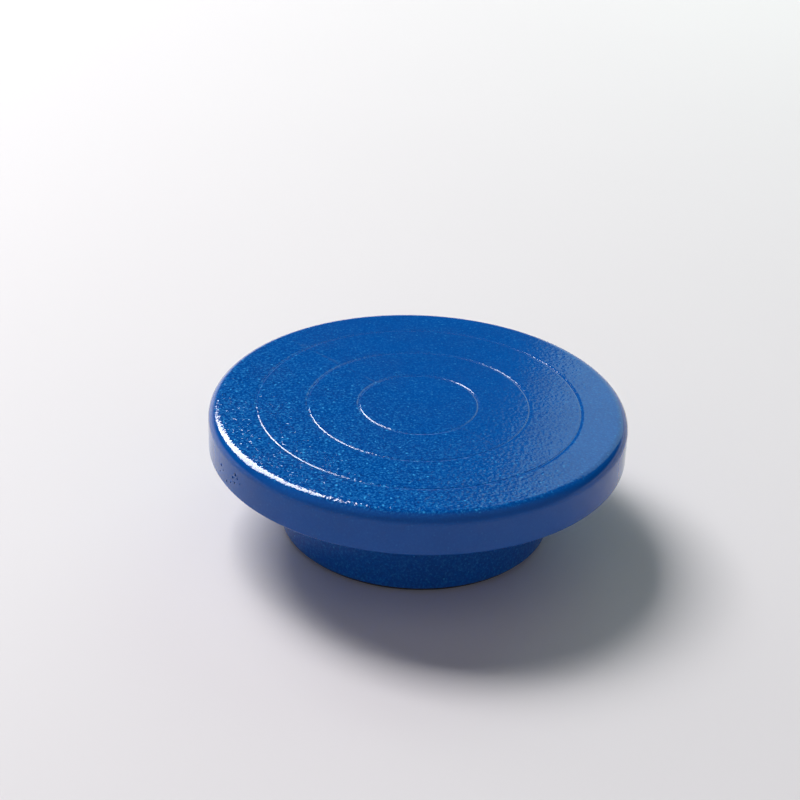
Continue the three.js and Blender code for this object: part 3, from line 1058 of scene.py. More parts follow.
class Finish(Enum):
    """The finishes that pieces are dressed in."""

    HEAD_ENAMEL = Enamel()
    # The base's enamel has fainter painted glints and painted shade specks, as strong all round.
    BASE_ENAMEL = Enamel(
        name="blue_enamel_base",
        smooth_side=0.0,
        depth=0.05 * MM,
        painted_glint_share=0.08,
        painted_speckle=0.4,
        far_right_speckle=1.0,
    )
    GROUND_STEEL = Steel(
        "ground_steel",
        color=(0.62, 0.63, 0.65),
        stain=(0.5, 0.51, 0.52),
        gloss=0.1,
        matt=0.22,
    )
    PRESSED_STEEL = Steel(
        "pressed_steel",
        color=(0.5, 0.51, 0.52),
        stain=(0.4, 0.4, 0.41),
        pitch=0.8 * MM,
    )
    ZINC_STEEL = Steel(
        "zinc_steel",
        color=(0.56, 0.58, 0.62),
        stain=(0.43, 0.44, 0.45),
        gloss=0.24,
        matt=0.42,
    )
    SPRING_STEEL = Steel(
        "spring_steel",
        color=(0.05, 0.05, 0.055),
        stain=(0.03, 0.03, 0.03),
        bright=(0.3, 0.3, 0.31),
        gloss=0.38,
        matt=0.6,
        metallic=0.8,
    )
    FOOT_RUBBER = Rubber()


class FinishShelf:
    """Makes each finish's material once and hands it out."""

    def __init__(self) -> None:
        """Starts with no material made."""
        self._made: dict[Finish, bpy.types.Material] = {}

    def get(self, finish: Finish) -> bpy.types.Material:
        """Finds a finish's material, or makes it the first time.

        Args:
            finish: The finish that is asked for.

        Returns:
            Its material.
        """
        if finish not in self._made:
            self._made[finish] = finish.value.material()
        return self._made[finish]


# ---------------------------------------------------------------------------------------------
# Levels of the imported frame
# ---------------------------------------------------------------------------------------------


@dataclass(frozen=True)
class Levels:
    """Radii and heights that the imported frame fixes, in metres."""

    head_radius: float
    head_top: float
    boss_bottom: float
    base_radius: float
    base_top: float
    base_lift: float
    bearing_bottom: float
    bearing_top: float
    bearing_radius: float
    spindle_end: float
    flange_radius: float
    spigot_top: float
    cover_bottom: float
    cover_top: float
    cover_radius: float
    foot_radius: float
    foot_top: float
    washer_bottom: float
    washer_radius: float
    shaft_clip_bottom: float
    bore_clip_top: float
    flange_screw_face: float
    cover_screw_face: float

    @classmethod
    def from_frame(cls) -> "Levels":
        """Reads the levels off the boxes of the frame's nodes.

        Returns:
            The levels.
        """
        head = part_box("wheel_head")
        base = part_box("base_housing")
        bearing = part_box("bearing_outer_ring")
        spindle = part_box("spindle")
        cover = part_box("bottom_cover")
        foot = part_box("antislip_ring")
        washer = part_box("spindle_washer")
        return cls(
            head_radius=head[1].x,
            head_top=head[1].z,
            boss_bottom=head[0].z,
            base_radius=base[1].x,
            base_top=base[1].z,
            base_lift=base[0].z,
            bearing_bottom=bearing[0].z,
            bearing_top=bearing[1].z,
            bearing_radius=bearing[1].x,
            spindle_end=spindle[0].z,
            flange_radius=spindle[1].x,
            spigot_top=spindle[1].z,
            cover_bottom=cover[0].z,
            cover_top=cover[1].z,
            cover_radius=cover[1].x,
            foot_radius=foot[1].x,
            foot_top=foot[1].z,
            washer_bottom=washer[0].z,
            washer_radius=washer[1].x,
            shaft_clip_bottom=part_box("spindle_circlip")[0].z,
            bore_clip_top=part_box("housing_circlip")[1].z,
            flange_screw_face=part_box("flange_screw_1")[0].z,
            cover_screw_face=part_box("cover_screw_1")[0].z,
        )

    @property
    def bearing_middle(self) -> float:
        """Height of the balls' centres."""
        return (self.bearing_bottom + self.bearing_top) / 2.0


# ---------------------------------------------------------------------------------------------
# Screws, rings and clips
# ---------------------------------------------------------------------------------------------


@dataclass(frozen=True)
class Screw:
    """A countersunk screw with a hexagon socket and a rolled thread, and the holes that it needs.

    Attributes:
        length: Length over all, in metres.
        head_radius: Radius of the head.
        thread_radius: Outer radius of the thread.
        core_radius: Radius at the thread's root.
        pitch: Pitch of the thread.
        socket_radius: Radius of the socket over its corners.
        socket_depth: Depth of the socket.
        clearance: Gap between the screw and the hole round it.
    """

    length: float
    head_radius: float = 2.75 * MM
    thread_radius: float = 1.5 * MM
    core_radius: float = 1.25 * MM
    pitch: float = 0.5 * MM
    socket_radius: float = 1.15 * MM
    socket_depth: float = 0.9 * MM
    clearance: float = 0.06 * MM

    @property
    def hole_radius(self) -> float:
        """Radius of the hole round the thread."""
        return self.thread_radius + self.clearance

    def mesh(self, name: str) -> bpy.types.Mesh:
        """Turns the screw, with its face at z = 0 and its tip up.

        Args:
            name: Name of the mesh.

        Returns:
            The screw's mesh.
        """
        head_height = self.head_radius - self.thread_radius
        corners = [
            Corner(0.0, 0.0),
            Corner(self.head_radius - 0.1 * MM, 0.0, 0.08 * MM),
            Corner(self.head_radius, 0.1 * MM, 0.05 * MM),
            Corner(self.thread_radius, head_height, 0.2 * MM),
        ]
        soft = 0.04 * MM
        z = head_height + self.pitch
        while z + self.pitch < self.length - 0.4 * MM:
            corners.append(Corner(self.core_radius, z, soft))
            corners.append(Corner(self.thread_radius, z + self.pitch / 2.0, soft))
            z += self.pitch
        corners += [
            Corner(self.core_radius, z, soft),
            Corner(self.core_radius, self.length - 0.3 * MM, 0.1 * MM),
            Corner(self.core_radius - 0.3 * MM, self.length, 0.05 * MM),
            Corner(0.0, self.length),
        ]
        screw = turned(name, corners, 48, closed=False)
        reshape(screw, rod(self.socket_radius, -MM, self.socket_depth, 0.0, 0.0, 6), Join.CUT)
        mesh = screw.data
        bpy.data.objects.remove(screw)
        return mesh

    def hole(self, bottom: float, top: float, x: float, y: float) -> bpy.types.Object:
        """Tool that cuts a plain hole for the thread.

        Args:
            bottom: Height of the hole's lower end.
            top: Height of its upper end.
            x: Place along X.
            y: Place along Y.

        Returns:
            The tool.
        """
        return rod(self.hole_radius, bottom, top, x, y, 32)

    def countersink(self, bottom: float, top: float, x: float, y: float) -> bpy.types.Object:
        """Tool that cuts a countersunk hole through a plate, from below.

        Args:
            bottom: Height of the plate's lower face.
            top: Height of its upper face.
            x: Place along X.
            y: Place along Y.

        Returns:
            The tool.
        """
        rim = self.head_radius + self.clearance
        corners = [
            Corner(0.0, bottom - MM),
            Corner(rim, bottom - MM),
            Corner(rim, bottom),
            Corner(self.hole_radius, bottom + rim - self.hole_radius),
            Corner(self.hole_radius, top + MM),
            Corner(0.0, top + MM),
        ]
        made = turned("countersink", corners, 48, closed=False)
        made.data.transform(Matrix.Translation((x, y, 0.0)))
        return made


def placed(mesh: bpy.types.Mesh, x: float, y: float, z: float, turn: float = 0.0) -> bpy.types.Object:
    """Copies a repeated piece into its place.

    Args:
        mesh: The piece's mesh about its own origin.
        x: Place along X.
        y: Place along Y.
        z: Height of its origin.
        turn: Angle that it is turned about its own axis.

    Returns:
        The piece, with its place in its mesh.
    """
    copy = mesh.copy()
    copy.transform(Matrix.Translation((x, y, z)) @ Matrix.Rotation(turn, 4, "Z"))
    return new_object("copy", copy)


def flat_ring(name: str, inner: float, outer: float, bottom: float, top: float, soft: float,
              segments: int) -> bpy.types.Object:
    """Flat ring with softened edges.

    Args:
        name: Name of the object.
        inner: Radius of its hole.
        outer: Outer radius.
        bottom: Height of its underside.
        top: Height of its top.
        soft: Rounding of its edges.
        segments: Number of facets round it.

    Returns:
        The ring.
    """
    corners = [
        Corner(inner, bottom, soft),
        Corner(outer, bottom, soft),
        Corner(outer, top, soft),
        Corner(inner, top, soft),
    ]
    return turned(name, corners, segments, closed=True)


@dataclass(frozen=True)
class Circlip:
    """A split spring ring with two lugs for the pliers, open towards +X.

    Attributes:
        inner: Inner radius, in metres.
        width: Width of its section.
        thickness: Thickness of the strip.
        lug: Radius of each lug.
        hole: Radius of the hole in each lug.
        opening: Gap between the ends.
        lugs_outside: Whether the lugs stand out, as on a shaft's clip, rather than in.
    """

    inner: float
    width: float
    thickness: float
    lug: float
    hole: float
    opening: float
    lugs_outside: bool

    def made(self, bottom: float) -> bpy.types.Object:
        """Cuts the clip out of strip.

        Args:
            bottom: Height of its underside.

        Returns:
            The clip.
        """
        top = bottom + self.thickness
        outer = self.inner + self.width
        clip = flat_ring("circlip", self.inner, outer, bottom, top, 0.08 * MM, 160)
        reshape(clip, self.block(outer, bottom, top), Join.CUT)
        lug_circle = outer if self.lugs_outside else self.inner
        lugs = []
        holes = []
        for side in (-1.0, 1.0):
            y = side * (self.opening / 2.0 + self.lug)
            x = math.sqrt(lug_circle**2 - y**2)
            lugs.append(rod(self.lug, bottom + 0.001 * MM, top - 0.001 * MM, x, y, 40))
            holes.append(rod(self.hole, bottom - MM, top + MM, x, y, 32))
        reshape(clip, merged("lugs", lugs), Join.ADD)
        if self.lugs_outside:
            reshape(clip, rod(self.inner, bottom - MM, top + MM, 0.0, 0.0, 160), Join.CUT)
        reshape(clip, merged("holes", holes), Join.CUT)
        return clip

    def block(self, outer: float, bottom: float, top: float) -> bpy.types.Object:
        """Tool that cuts the opening.

        Args:
            outer: Outer radius of the clip.
            bottom: Height of its underside.
            top: Height of its top.

        Returns:
            The tool.
        """
        shape = bmesh.new()
        bmesh.ops.create_cube(shape, size=1.0)
        shape.transform(Matrix.Diagonal((outer + MM, self.opening, top - bottom + 2.0 * MM, 1.0)))
        shape.transform(Matrix.Translation(((outer + MM) / 2.0, 0.0, (top + bottom) / 2.0)))
        return from_bmesh("opening", shape)


FLANGE_SCREW = Screw(length=10.0 * MM)
COVER_SCREW = Screw(length=8.0 * MM)
SPINDLE_CLIP = Circlip(
    inner=7.22 * MM,
    width=2.0 * MM,
    thickness=1.0 * MM,
    lug=1.5 * MM,
    hole=0.8 * MM,
    opening=2.2 * MM,
    lugs_outside=True,
)
HOUSING_CLIP = Circlip(
    inner=15.85 * MM,
    width=2.58 * MM,
    thickness=1.5 * MM,
    lug=1.8 * MM,
    hole=1.0 * MM,
    opening=4.0 * MM,
    lugs_outside=False,
)


# ---------------------------------------------------------------------------------------------
# Sub-assemblies
# ---------------------------------------------------------------------------------------------


@dataclass
class SubAssembly(ABC):
    """A group of pieces that is built and dressed together."""

    levels: Levels
    shelf: FinishShelf

    @abstractmethod
    def build(self) -> None:
        """Builds and dresses every piece of the sub-assembly."""

    def dress(self, piece: bpy.types.Object, node: str, body: str, slot: Slot, finish: Finish) -> None:
        """Gives a piece its shading, finish, body and node.

        Args:
            piece: The finished mesh object.
            node: The frame's node that it stands for.
            body: The body that it rides on.
            slot: The record's material slot; not used.
            finish: The finish that it is dressed in.
        """
        piece.name = f"{node}_piece"
        piece.data.name = piece.name
        piece.data.materials.clear()
        piece.data.materials.append(self.shelf.get(finish))
        shade(piece)
        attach(piece, body)
        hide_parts(node)
        LOG.info("%s rides on %s in %s", piece.name, body, finish.name.lower())


@dataclass
class WheelHead(SubAssembly):
    """The cast disc: a plate with three centring grooves, a rim, a boss and four ribs below."""

    segments: int = 288
    rim_height: float = 11.3 * MM
    rim_wall: float = 4.5 * MM
    rim_draft: float = 0.8 * MM
    plate: float = 5.4 * MM
    edge_rounding: float = 3.1 * MM
    lower_rounding: float = 0.5 * MM
    lip_rounding: float = 0.6 * MM
    rim_fillet: float = 2.0 * MM
    boss_margin: float = 1.0 * MM
    boss_draft: float = 0.4 * MM
    boss_rounding: float = 0.5 * MM
    boss_fillet: float = 1.5 * MM
    rib_count: int = 4
    rib_thickness: float = 3.0 * MM
    rib_depth: float = 4.4 * MM
    rib_overlap: float = 0.5 * MM
    groove_count: int = 3
    groove_edge_distance: float = 12.2 * MM
    groove_pitch: float = 13.45 * MM
    groove_width: float = 1.2 * MM
    groove_depth: float = 0.11 * MM
    groove_steep_share: float = 0.28
    groove_steps: int = 16
    socket_radius: float = 8.1 * MM
    socket_clearance: float = 0.1 * MM
    socket_rounding: float = 0.3 * MM
    screw_count: int = 4
    screw_inset: float = 3.1 * MM
    screw_hole_depth: float = 7.8 * MM
    pits: tuple[tuple[float, float, float], ...] = (
        (214.6, 4.9, 0.42), (215.5, 5.6, 0.3), (213.2, 6.3, 0.36), (216.9, 6.5, 0.22), (214.0, 7.5, 0.3),
        (211.9, 8.4, 0.26), (206.0, 6.4, 0.4), (207.2, 7.3, 0.24), (209.5, 9.3, 0.3), (205.1, 8.6, 0.22),
    )

    def pinholes(self) -> list[bpy.types.Object]:
        """Tools for the casting's pinholes on the rim.

        Each is given by its angle in degrees, and its depth below the top and radius in millimetres.

        Returns:
            The tools.
        """
        rim = self.levels.head_radius
        holes = []
        for angle, below, radius in self.pits:
            turn = math.radians(angle)
            height = self.levels.head_top - below * MM
            holes.append(dimple(radius * MM, rim * math.cos(turn), rim * math.sin(turn), height))
        return holes

    def grooves(self) -> list[Corner]:
        """Outline of the grooves from the rim inwards, each a smooth trough, steep on its inner side.

        Returns:
            The outline's corners.
        """
        gentle = 1.0 - self.groove_steep_share
        corners: list[Corner] = []
        for i in range(self.groove_count):
            middle = self.levels.head_radius - self.groove_edge_distance - i * self.groove_pitch
            for step in range(self.groove_steps + 1):
                share = step / self.groove_steps
                if share <= gentle:
                    dip = 0.5 - 0.5 * math.cos(math.pi * share / gentle)
                else:
                    dip = 0.5 + 0.5 * math.cos(math.pi * (share - gentle) / self.groove_steep_share)
                radius = middle + self.groove_width * (0.5 - share)
                corners.append(Corner(radius, self.levels.head_top - self.groove_depth * dip))
        return corners

    def build(self) -> None:
        """Turns the casting, then adds its ribs and drills it for the flange screws."""
        lv = self.levels
        top = lv.head_top
        rim_bottom = top - self.rim_height
        plate_bottom = top - self.plate
        inner = lv.head_radius - self.rim_wall
        boss = lv.flange_radius + self.boss_margin
        socket_top = lv.spigot_top + self.socket_clearance
        edge = (lv.head_radius - self.edge_rounding, top - self.edge_rounding)
        corners = [
            Corner(0.0, socket_top),
            Corner(self.socket_radius, socket_top),
            Corner(self.socket_radius, lv.boss_bottom, self.socket_rounding),
            Corner(boss, lv.boss_bottom, self.boss_rounding),
            Corner(boss + self.boss_draft, plate_bottom, self.boss_fillet),
            Corner(inner - self.rim_draft, plate_bottom, self.rim_fillet),
            Corner(inner, rim_bottom, self.lip_rounding),
            Corner(lv.head_radius, rim_bottom, self.lower_rounding),
            *arc(edge, self.edge_rounding, 0.0, math.pi / 2.0, 16),
            *self.grooves(),
            Corner(0.0, top),
        ]
        disc = turned("wheel_head", corners, self.segments, closed=False)
        ribs = [
            web(
                boss - 2.0 * self.rib_overlap,
                inner + self.rib_overlap,
                self.rib_thickness,
                plate_bottom - self.rib_depth,
                plate_bottom + self.rib_overlap,
                angle,
            )
            for angle, _, _ in places(self.rib_count, 1.0, math.pi / self.rib_count)
        ]
        reshape(disc, merged("ribs", ribs), Join.ADD)
        spots = places(self.screw_count, lv.flange_radius - self.screw_inset)
        hole_top = lv.boss_bottom + self.screw_hole_depth
        holes = [FLANGE_SCREW.hole(lv.boss_bottom - MM, hole_top, x, y) for _, x, y in spots]
        reshape(disc, merged("holes", holes), Join.CUT)
        reshape(disc, merged("pinholes", self.pinholes()), Join.CUT)
        self.dress(disc, "wheel_head", Body.WHEEL.value, Slot.PAINT, Finish.HEAD_ENAMEL)


@dataclass
class SpindleSet(SubAssembly):
    """The flanged spindle with its screws, washer and circlip."""

    segments: int = 128
    journal: float = 7.47 * MM
    tip_chamfer: float = 0.4 * MM
    groove_depth: float = 0.35 * MM
    groove_clearance: float = 0.1 * MM
    shoulder_width: float = 1.3 * MM
    flange_thickness: float = 3.0 * MM
    spigot_radius: float = 8.0 * MM
    screw_count: int = 4
    screw_inset: float = 3.1 * MM
    washer_width: float = 2.9 * MM

    @property
    def screw_spots(self) -> list[tuple[float, float, float]]:
        """Angle, x and y of each flange screw."""
        return list(places(self.screw_count, self.levels.flange_radius - self.screw_inset))

    def spindle(self) -> None:
        """Turns the spindle and countersinks its flange."""
        lv = self.levels
        flange_bottom = lv.boss_bottom - self.flange_thickness
        clip_bottom = lv.shaft_clip_bottom - self.groove_clearance
        root = self.journal - self.groove_depth
        shoulder = self.journal + self.shoulder_width
        soft = 0.15 * MM
        crisp = 0.05 * MM
        corners = [
            Corner(0.0, lv.spindle_end),
            Corner(self.journal - self.tip_chamfer, lv.spindle_end, soft),
            Corner(self.journal, lv.spindle_end + self.tip_chamfer, soft),
            Corner(self.journal, clip_bottom, crisp),
            Corner(root, clip_bottom, crisp),
            Corner(root, lv.washer_bottom, crisp),
            Corner(self.journal, lv.washer_bottom, crisp),
            Corner(self.journal, lv.bearing_top, 0.2 * MM),
            Corner(shoulder, lv.bearing_top, soft),
            Corner(shoulder, flange_bottom, 0.3 * MM),
            Corner(lv.flange_radius, flange_bottom, 0.4 * MM),
            Corner(lv.flange_radius, lv.boss_bottom, 0.2 * MM),
            Corner(self.spigot_radius, lv.boss_bottom, soft),
            Corner(self.spigot_radius, lv.spigot_top, 0.4 * MM),
            Corner(0.0, lv.spigot_top),
        ]
        shaft = turned("spindle", corners, self.segments, closed=False)
        holes = [
            FLANGE_SCREW.countersink(flange_bottom, lv.boss_bottom, x, y) for _, x, y in self.screw_spots
        ]
        reshape(shaft, merged("holes", holes), Join.CUT)
        self.dress(shaft, "spindle", Body.WHEEL.value, Slot.GROUND, Finish.GROUND_STEEL)

    def washer(self) -> None:
        """Turns the shim washer."""
        lv = self.levels
        inner = lv.washer_radius - self.washer_width
        soft = 0.12 * MM
        ring = flat_ring("washer", inner, lv.washer_radius, lv.washer_bottom, lv.bearing_bottom, soft, 96)
        self.dress(ring, "spindle_washer", Body.WHEEL.value, Slot.ZINC, Finish.ZINC_STEEL)

    def screws(self) -> None:
        """Places the flange screws, each stopped at an angle of its own."""
        mesh = FLANGE_SCREW.mesh("flange_screw")
        for i, (angle, x, y) in enumerate(self.screw_spots, start=1):
            screw = placed(mesh, x, y, self.levels.flange_screw_face, angle + 0.4 * i)
            self.dress(screw, f"flange_screw_{i}", Body.WHEEL.value, Slot.ZINC, Finish.ZINC_STEEL)

    def build(self) -> None:
        """Builds the spindle and what holds it."""
        self.spindle()
        self.washer()
        self.screws()
        ring = SPINDLE_CLIP.made(self.levels.shaft_clip_bottom)
        self.dress(ring, "spindle_circlip", Body.WHEEL.value, Slot.SPRING, Finish.SPRING_STEEL)


@dataclass
class BaseSet(SubAssembly):
    """The cast housing with its rubber ring, bottom cover, cover screws and bearing circlip."""

    segments: int = 256
    taper: float = 1.2 * MM
    wall: float = 6.0 * MM
    top_plate: float = 3.6 * MM
    lower_rounding: float = 0.9 * MM
    upper_rounding: float = 1.2 * MM
    cavity_fillet: float = 2.0 * MM
    hub_wall: float = 4.0 * MM
    hub_rounding: float = 0.5 * MM
    seat_clearance: float = 0.03 * MM
    shoulder_width: float = 3.3 * MM
    shoulder_thickness: float = 3.3 * MM
    seat_width: float = 1.0 * MM
    foot_width: float = 3.1 * MM
    foot_clearance: float = 0.1 * MM
    clip_groove: float = 1.0 * MM
    clip_clearance: float = 0.1 * MM
    rib_thickness: float = 3.0 * MM
    rib_overlap: float = 0.5 * MM
    boss_radius: float = 3.6 * MM
    screw_count: int = 4
    first_screw: float = math.pi / 4.0
    screw_hole_spare: float = 0.8 * MM

    @property
    def cavity_radius(self) -> float:
        """Outer radius of the hollow under the housing's top."""
        return self.levels.base_radius - self.wall

    @property
    def hub_radius(self) -> float:
        """Outer radius of the bearing's hub."""
        return self.levels.bearing_radius + self.seat_clearance + self.hub_wall

    @property
    def screw_circle(self) -> float:
        """Radius of the circle of cover screws."""
        return (self.hub_radius + self.cavity_radius) / 2.0

    @property
    def screw_spots(self) -> list[tuple[float, float, float]]:
        """Angle, x and y of each cover screw, with a boss and a rib over it."""
        return list(places(self.screw_count, self.screw_circle, self.first_screw))

    def housing(self) -> None:
        """Turns the housing, then adds its ribs and bosses and drills them."""
        lv = self.levels
        seat = lv.bearing_radius + self.seat_clearance
        hole = lv.bearing_radius - self.shoulder_width
        hub_bottom = lv.bearing_bottom - self.shoulder_thickness
        cavity_top = lv.base_top - self.top_plate
        pocket = self.cavity_radius + self.seat_width
        foot_inner = lv.foot_radius - self.foot_width - self.foot_clearance
        foot_outer = lv.foot_radius + self.foot_clearance
        groove_top = lv.bore_clip_top + self.clip_clearance
        groove = seat + self.clip_groove
        soft = 0.2 * MM
        crisp = 0.05 * MM
        corners = [
            Corner(hole, hub_bottom, soft),
            Corner(self.hub_radius, hub_bottom, self.hub_rounding),
            Corner(self.hub_radius, cavity_top, self.cavity_fillet),
            Corner(self.cavity_radius, cavity_top, self.cavity_fillet),
            Corner(self.cavity_radius, lv.cover_top, soft),
            Corner(pocket, lv.cover_top, crisp),
            Corner(pocket, lv.base_lift, soft),
            Corner(foot_inner, lv.base_lift, soft),
            Corner(foot_inner, lv.foot_top, crisp),
            Corner(foot_outer, lv.foot_top, crisp),
            Corner(foot_outer, lv.base_lift, 0.03 * MM),
            Corner(lv.base_radius, lv.base_lift, self.lower_rounding),
            Corner(lv.base_radius - self.taper, lv.base_top, self.upper_rounding),
            Corner(seat, lv.base_top, self.hub_rounding),
            Corner(seat, groove_top, crisp),
            Corner(groove, groove_top, crisp),
            Corner(groove, lv.bearing_top, crisp),
            Corner(seat, lv.bearing_top, crisp),
            Corner(seat, lv.bearing_bottom, 0.1 * MM),
            Corner(hole, lv.bearing_bottom, soft),
        ]
        casting = turned("base_housing", corners, self.segments, closed=True)
        root = cavity_top + self.rib_overlap
        start, end = self.hub_radius - self.rib_overlap, self.cavity_radius + self.rib_overlap
        ribs = [
            web(start, end, self.rib_thickness, hub_bottom, root, angle) for angle, _, _ in self.screw_spots
        ]
        reshape(casting, merged("ribs", ribs), Join.ADD)
        bosses = [rod(self.boss_radius, lv.cover_top, root, x, y, 64) for _, x, y in self.screw_spots]
        reshape(casting, merged("bosses", bosses), Join.ADD)
        hole_top = lv.cover_bottom + COVER_SCREW.length + self.screw_hole_spare
        holes = [COVER_SCREW.hole(lv.cover_top - MM, hole_top, x, y) for _, x, y in self.screw_spots]
        reshape(casting, merged("holes", holes), Join.CUT)
        self.dress(casting, "base_housing", Body.BASE.value, Slot.PAINT, Finish.BASE_ENAMEL)

    def foot(self) -> None:
        """Moulds the rubber ring."""
        lv = self.levels
        inner = lv.foot_radius - self.foot_width
        ring = flat_ring("foot", inner, lv.foot_radius, 0.0, lv.foot_top, 0.3 * MM, 192)
        self.dress(ring, "antislip_ring", Body.BASE.value, Slot.RUBBER, Finish.FOOT_RUBBER)

    def cover(self) -> None:
        """Presses the bottom cover and countersinks it."""
        lv = self.levels
        soft = 0.25 * MM
        corners = [
            Corner(0.0, lv.cover_bottom),
            Corner(lv.cover_radius, lv.cover_bottom, soft),
            Corner(lv.cover_radius, lv.cover_top, soft),
            Corner(0.0, lv.cover_top),
        ]
        plate = turned("cover", corners, 192, closed=False)
        holes = [
            COVER_SCREW.countersink(lv.cover_bottom, lv.cover_top, x, y) for _, x, y in self.screw_spots
        ]
        reshape(plate, merged("holes", holes), Join.CUT)
        self.dress(plate, "bottom_cover", Body.BASE.value, Slot.ZINC, Finish.ZINC_STEEL)

    def screws(self) -> None:
        """Places the cover screws, each stopped at an angle of its own."""
        mesh = COVER_SCREW.mesh("cover_screw")
        for i, (angle, x, y) in enumerate(self.screw_spots, start=1):
            screw = placed(mesh, x, y, self.levels.cover_screw_face, angle - 0.5 * i)
            self.dress(screw, f"cover_screw_{i}", Body.BASE.value, Slot.ZINC, Finish.ZINC_STEEL)

    def build(self) -> None:
        """Builds the base and what is fixed to it."""
        self.housing()
        self.foot()
        self.cover()
        self.screws()
        ring = HOUSING_CLIP.made(self.levels.bearing_top)
        self.dress(ring, "housing_circlip", Body.BASE.value, Slot.SPRING, Finish.SPRING_STEEL)


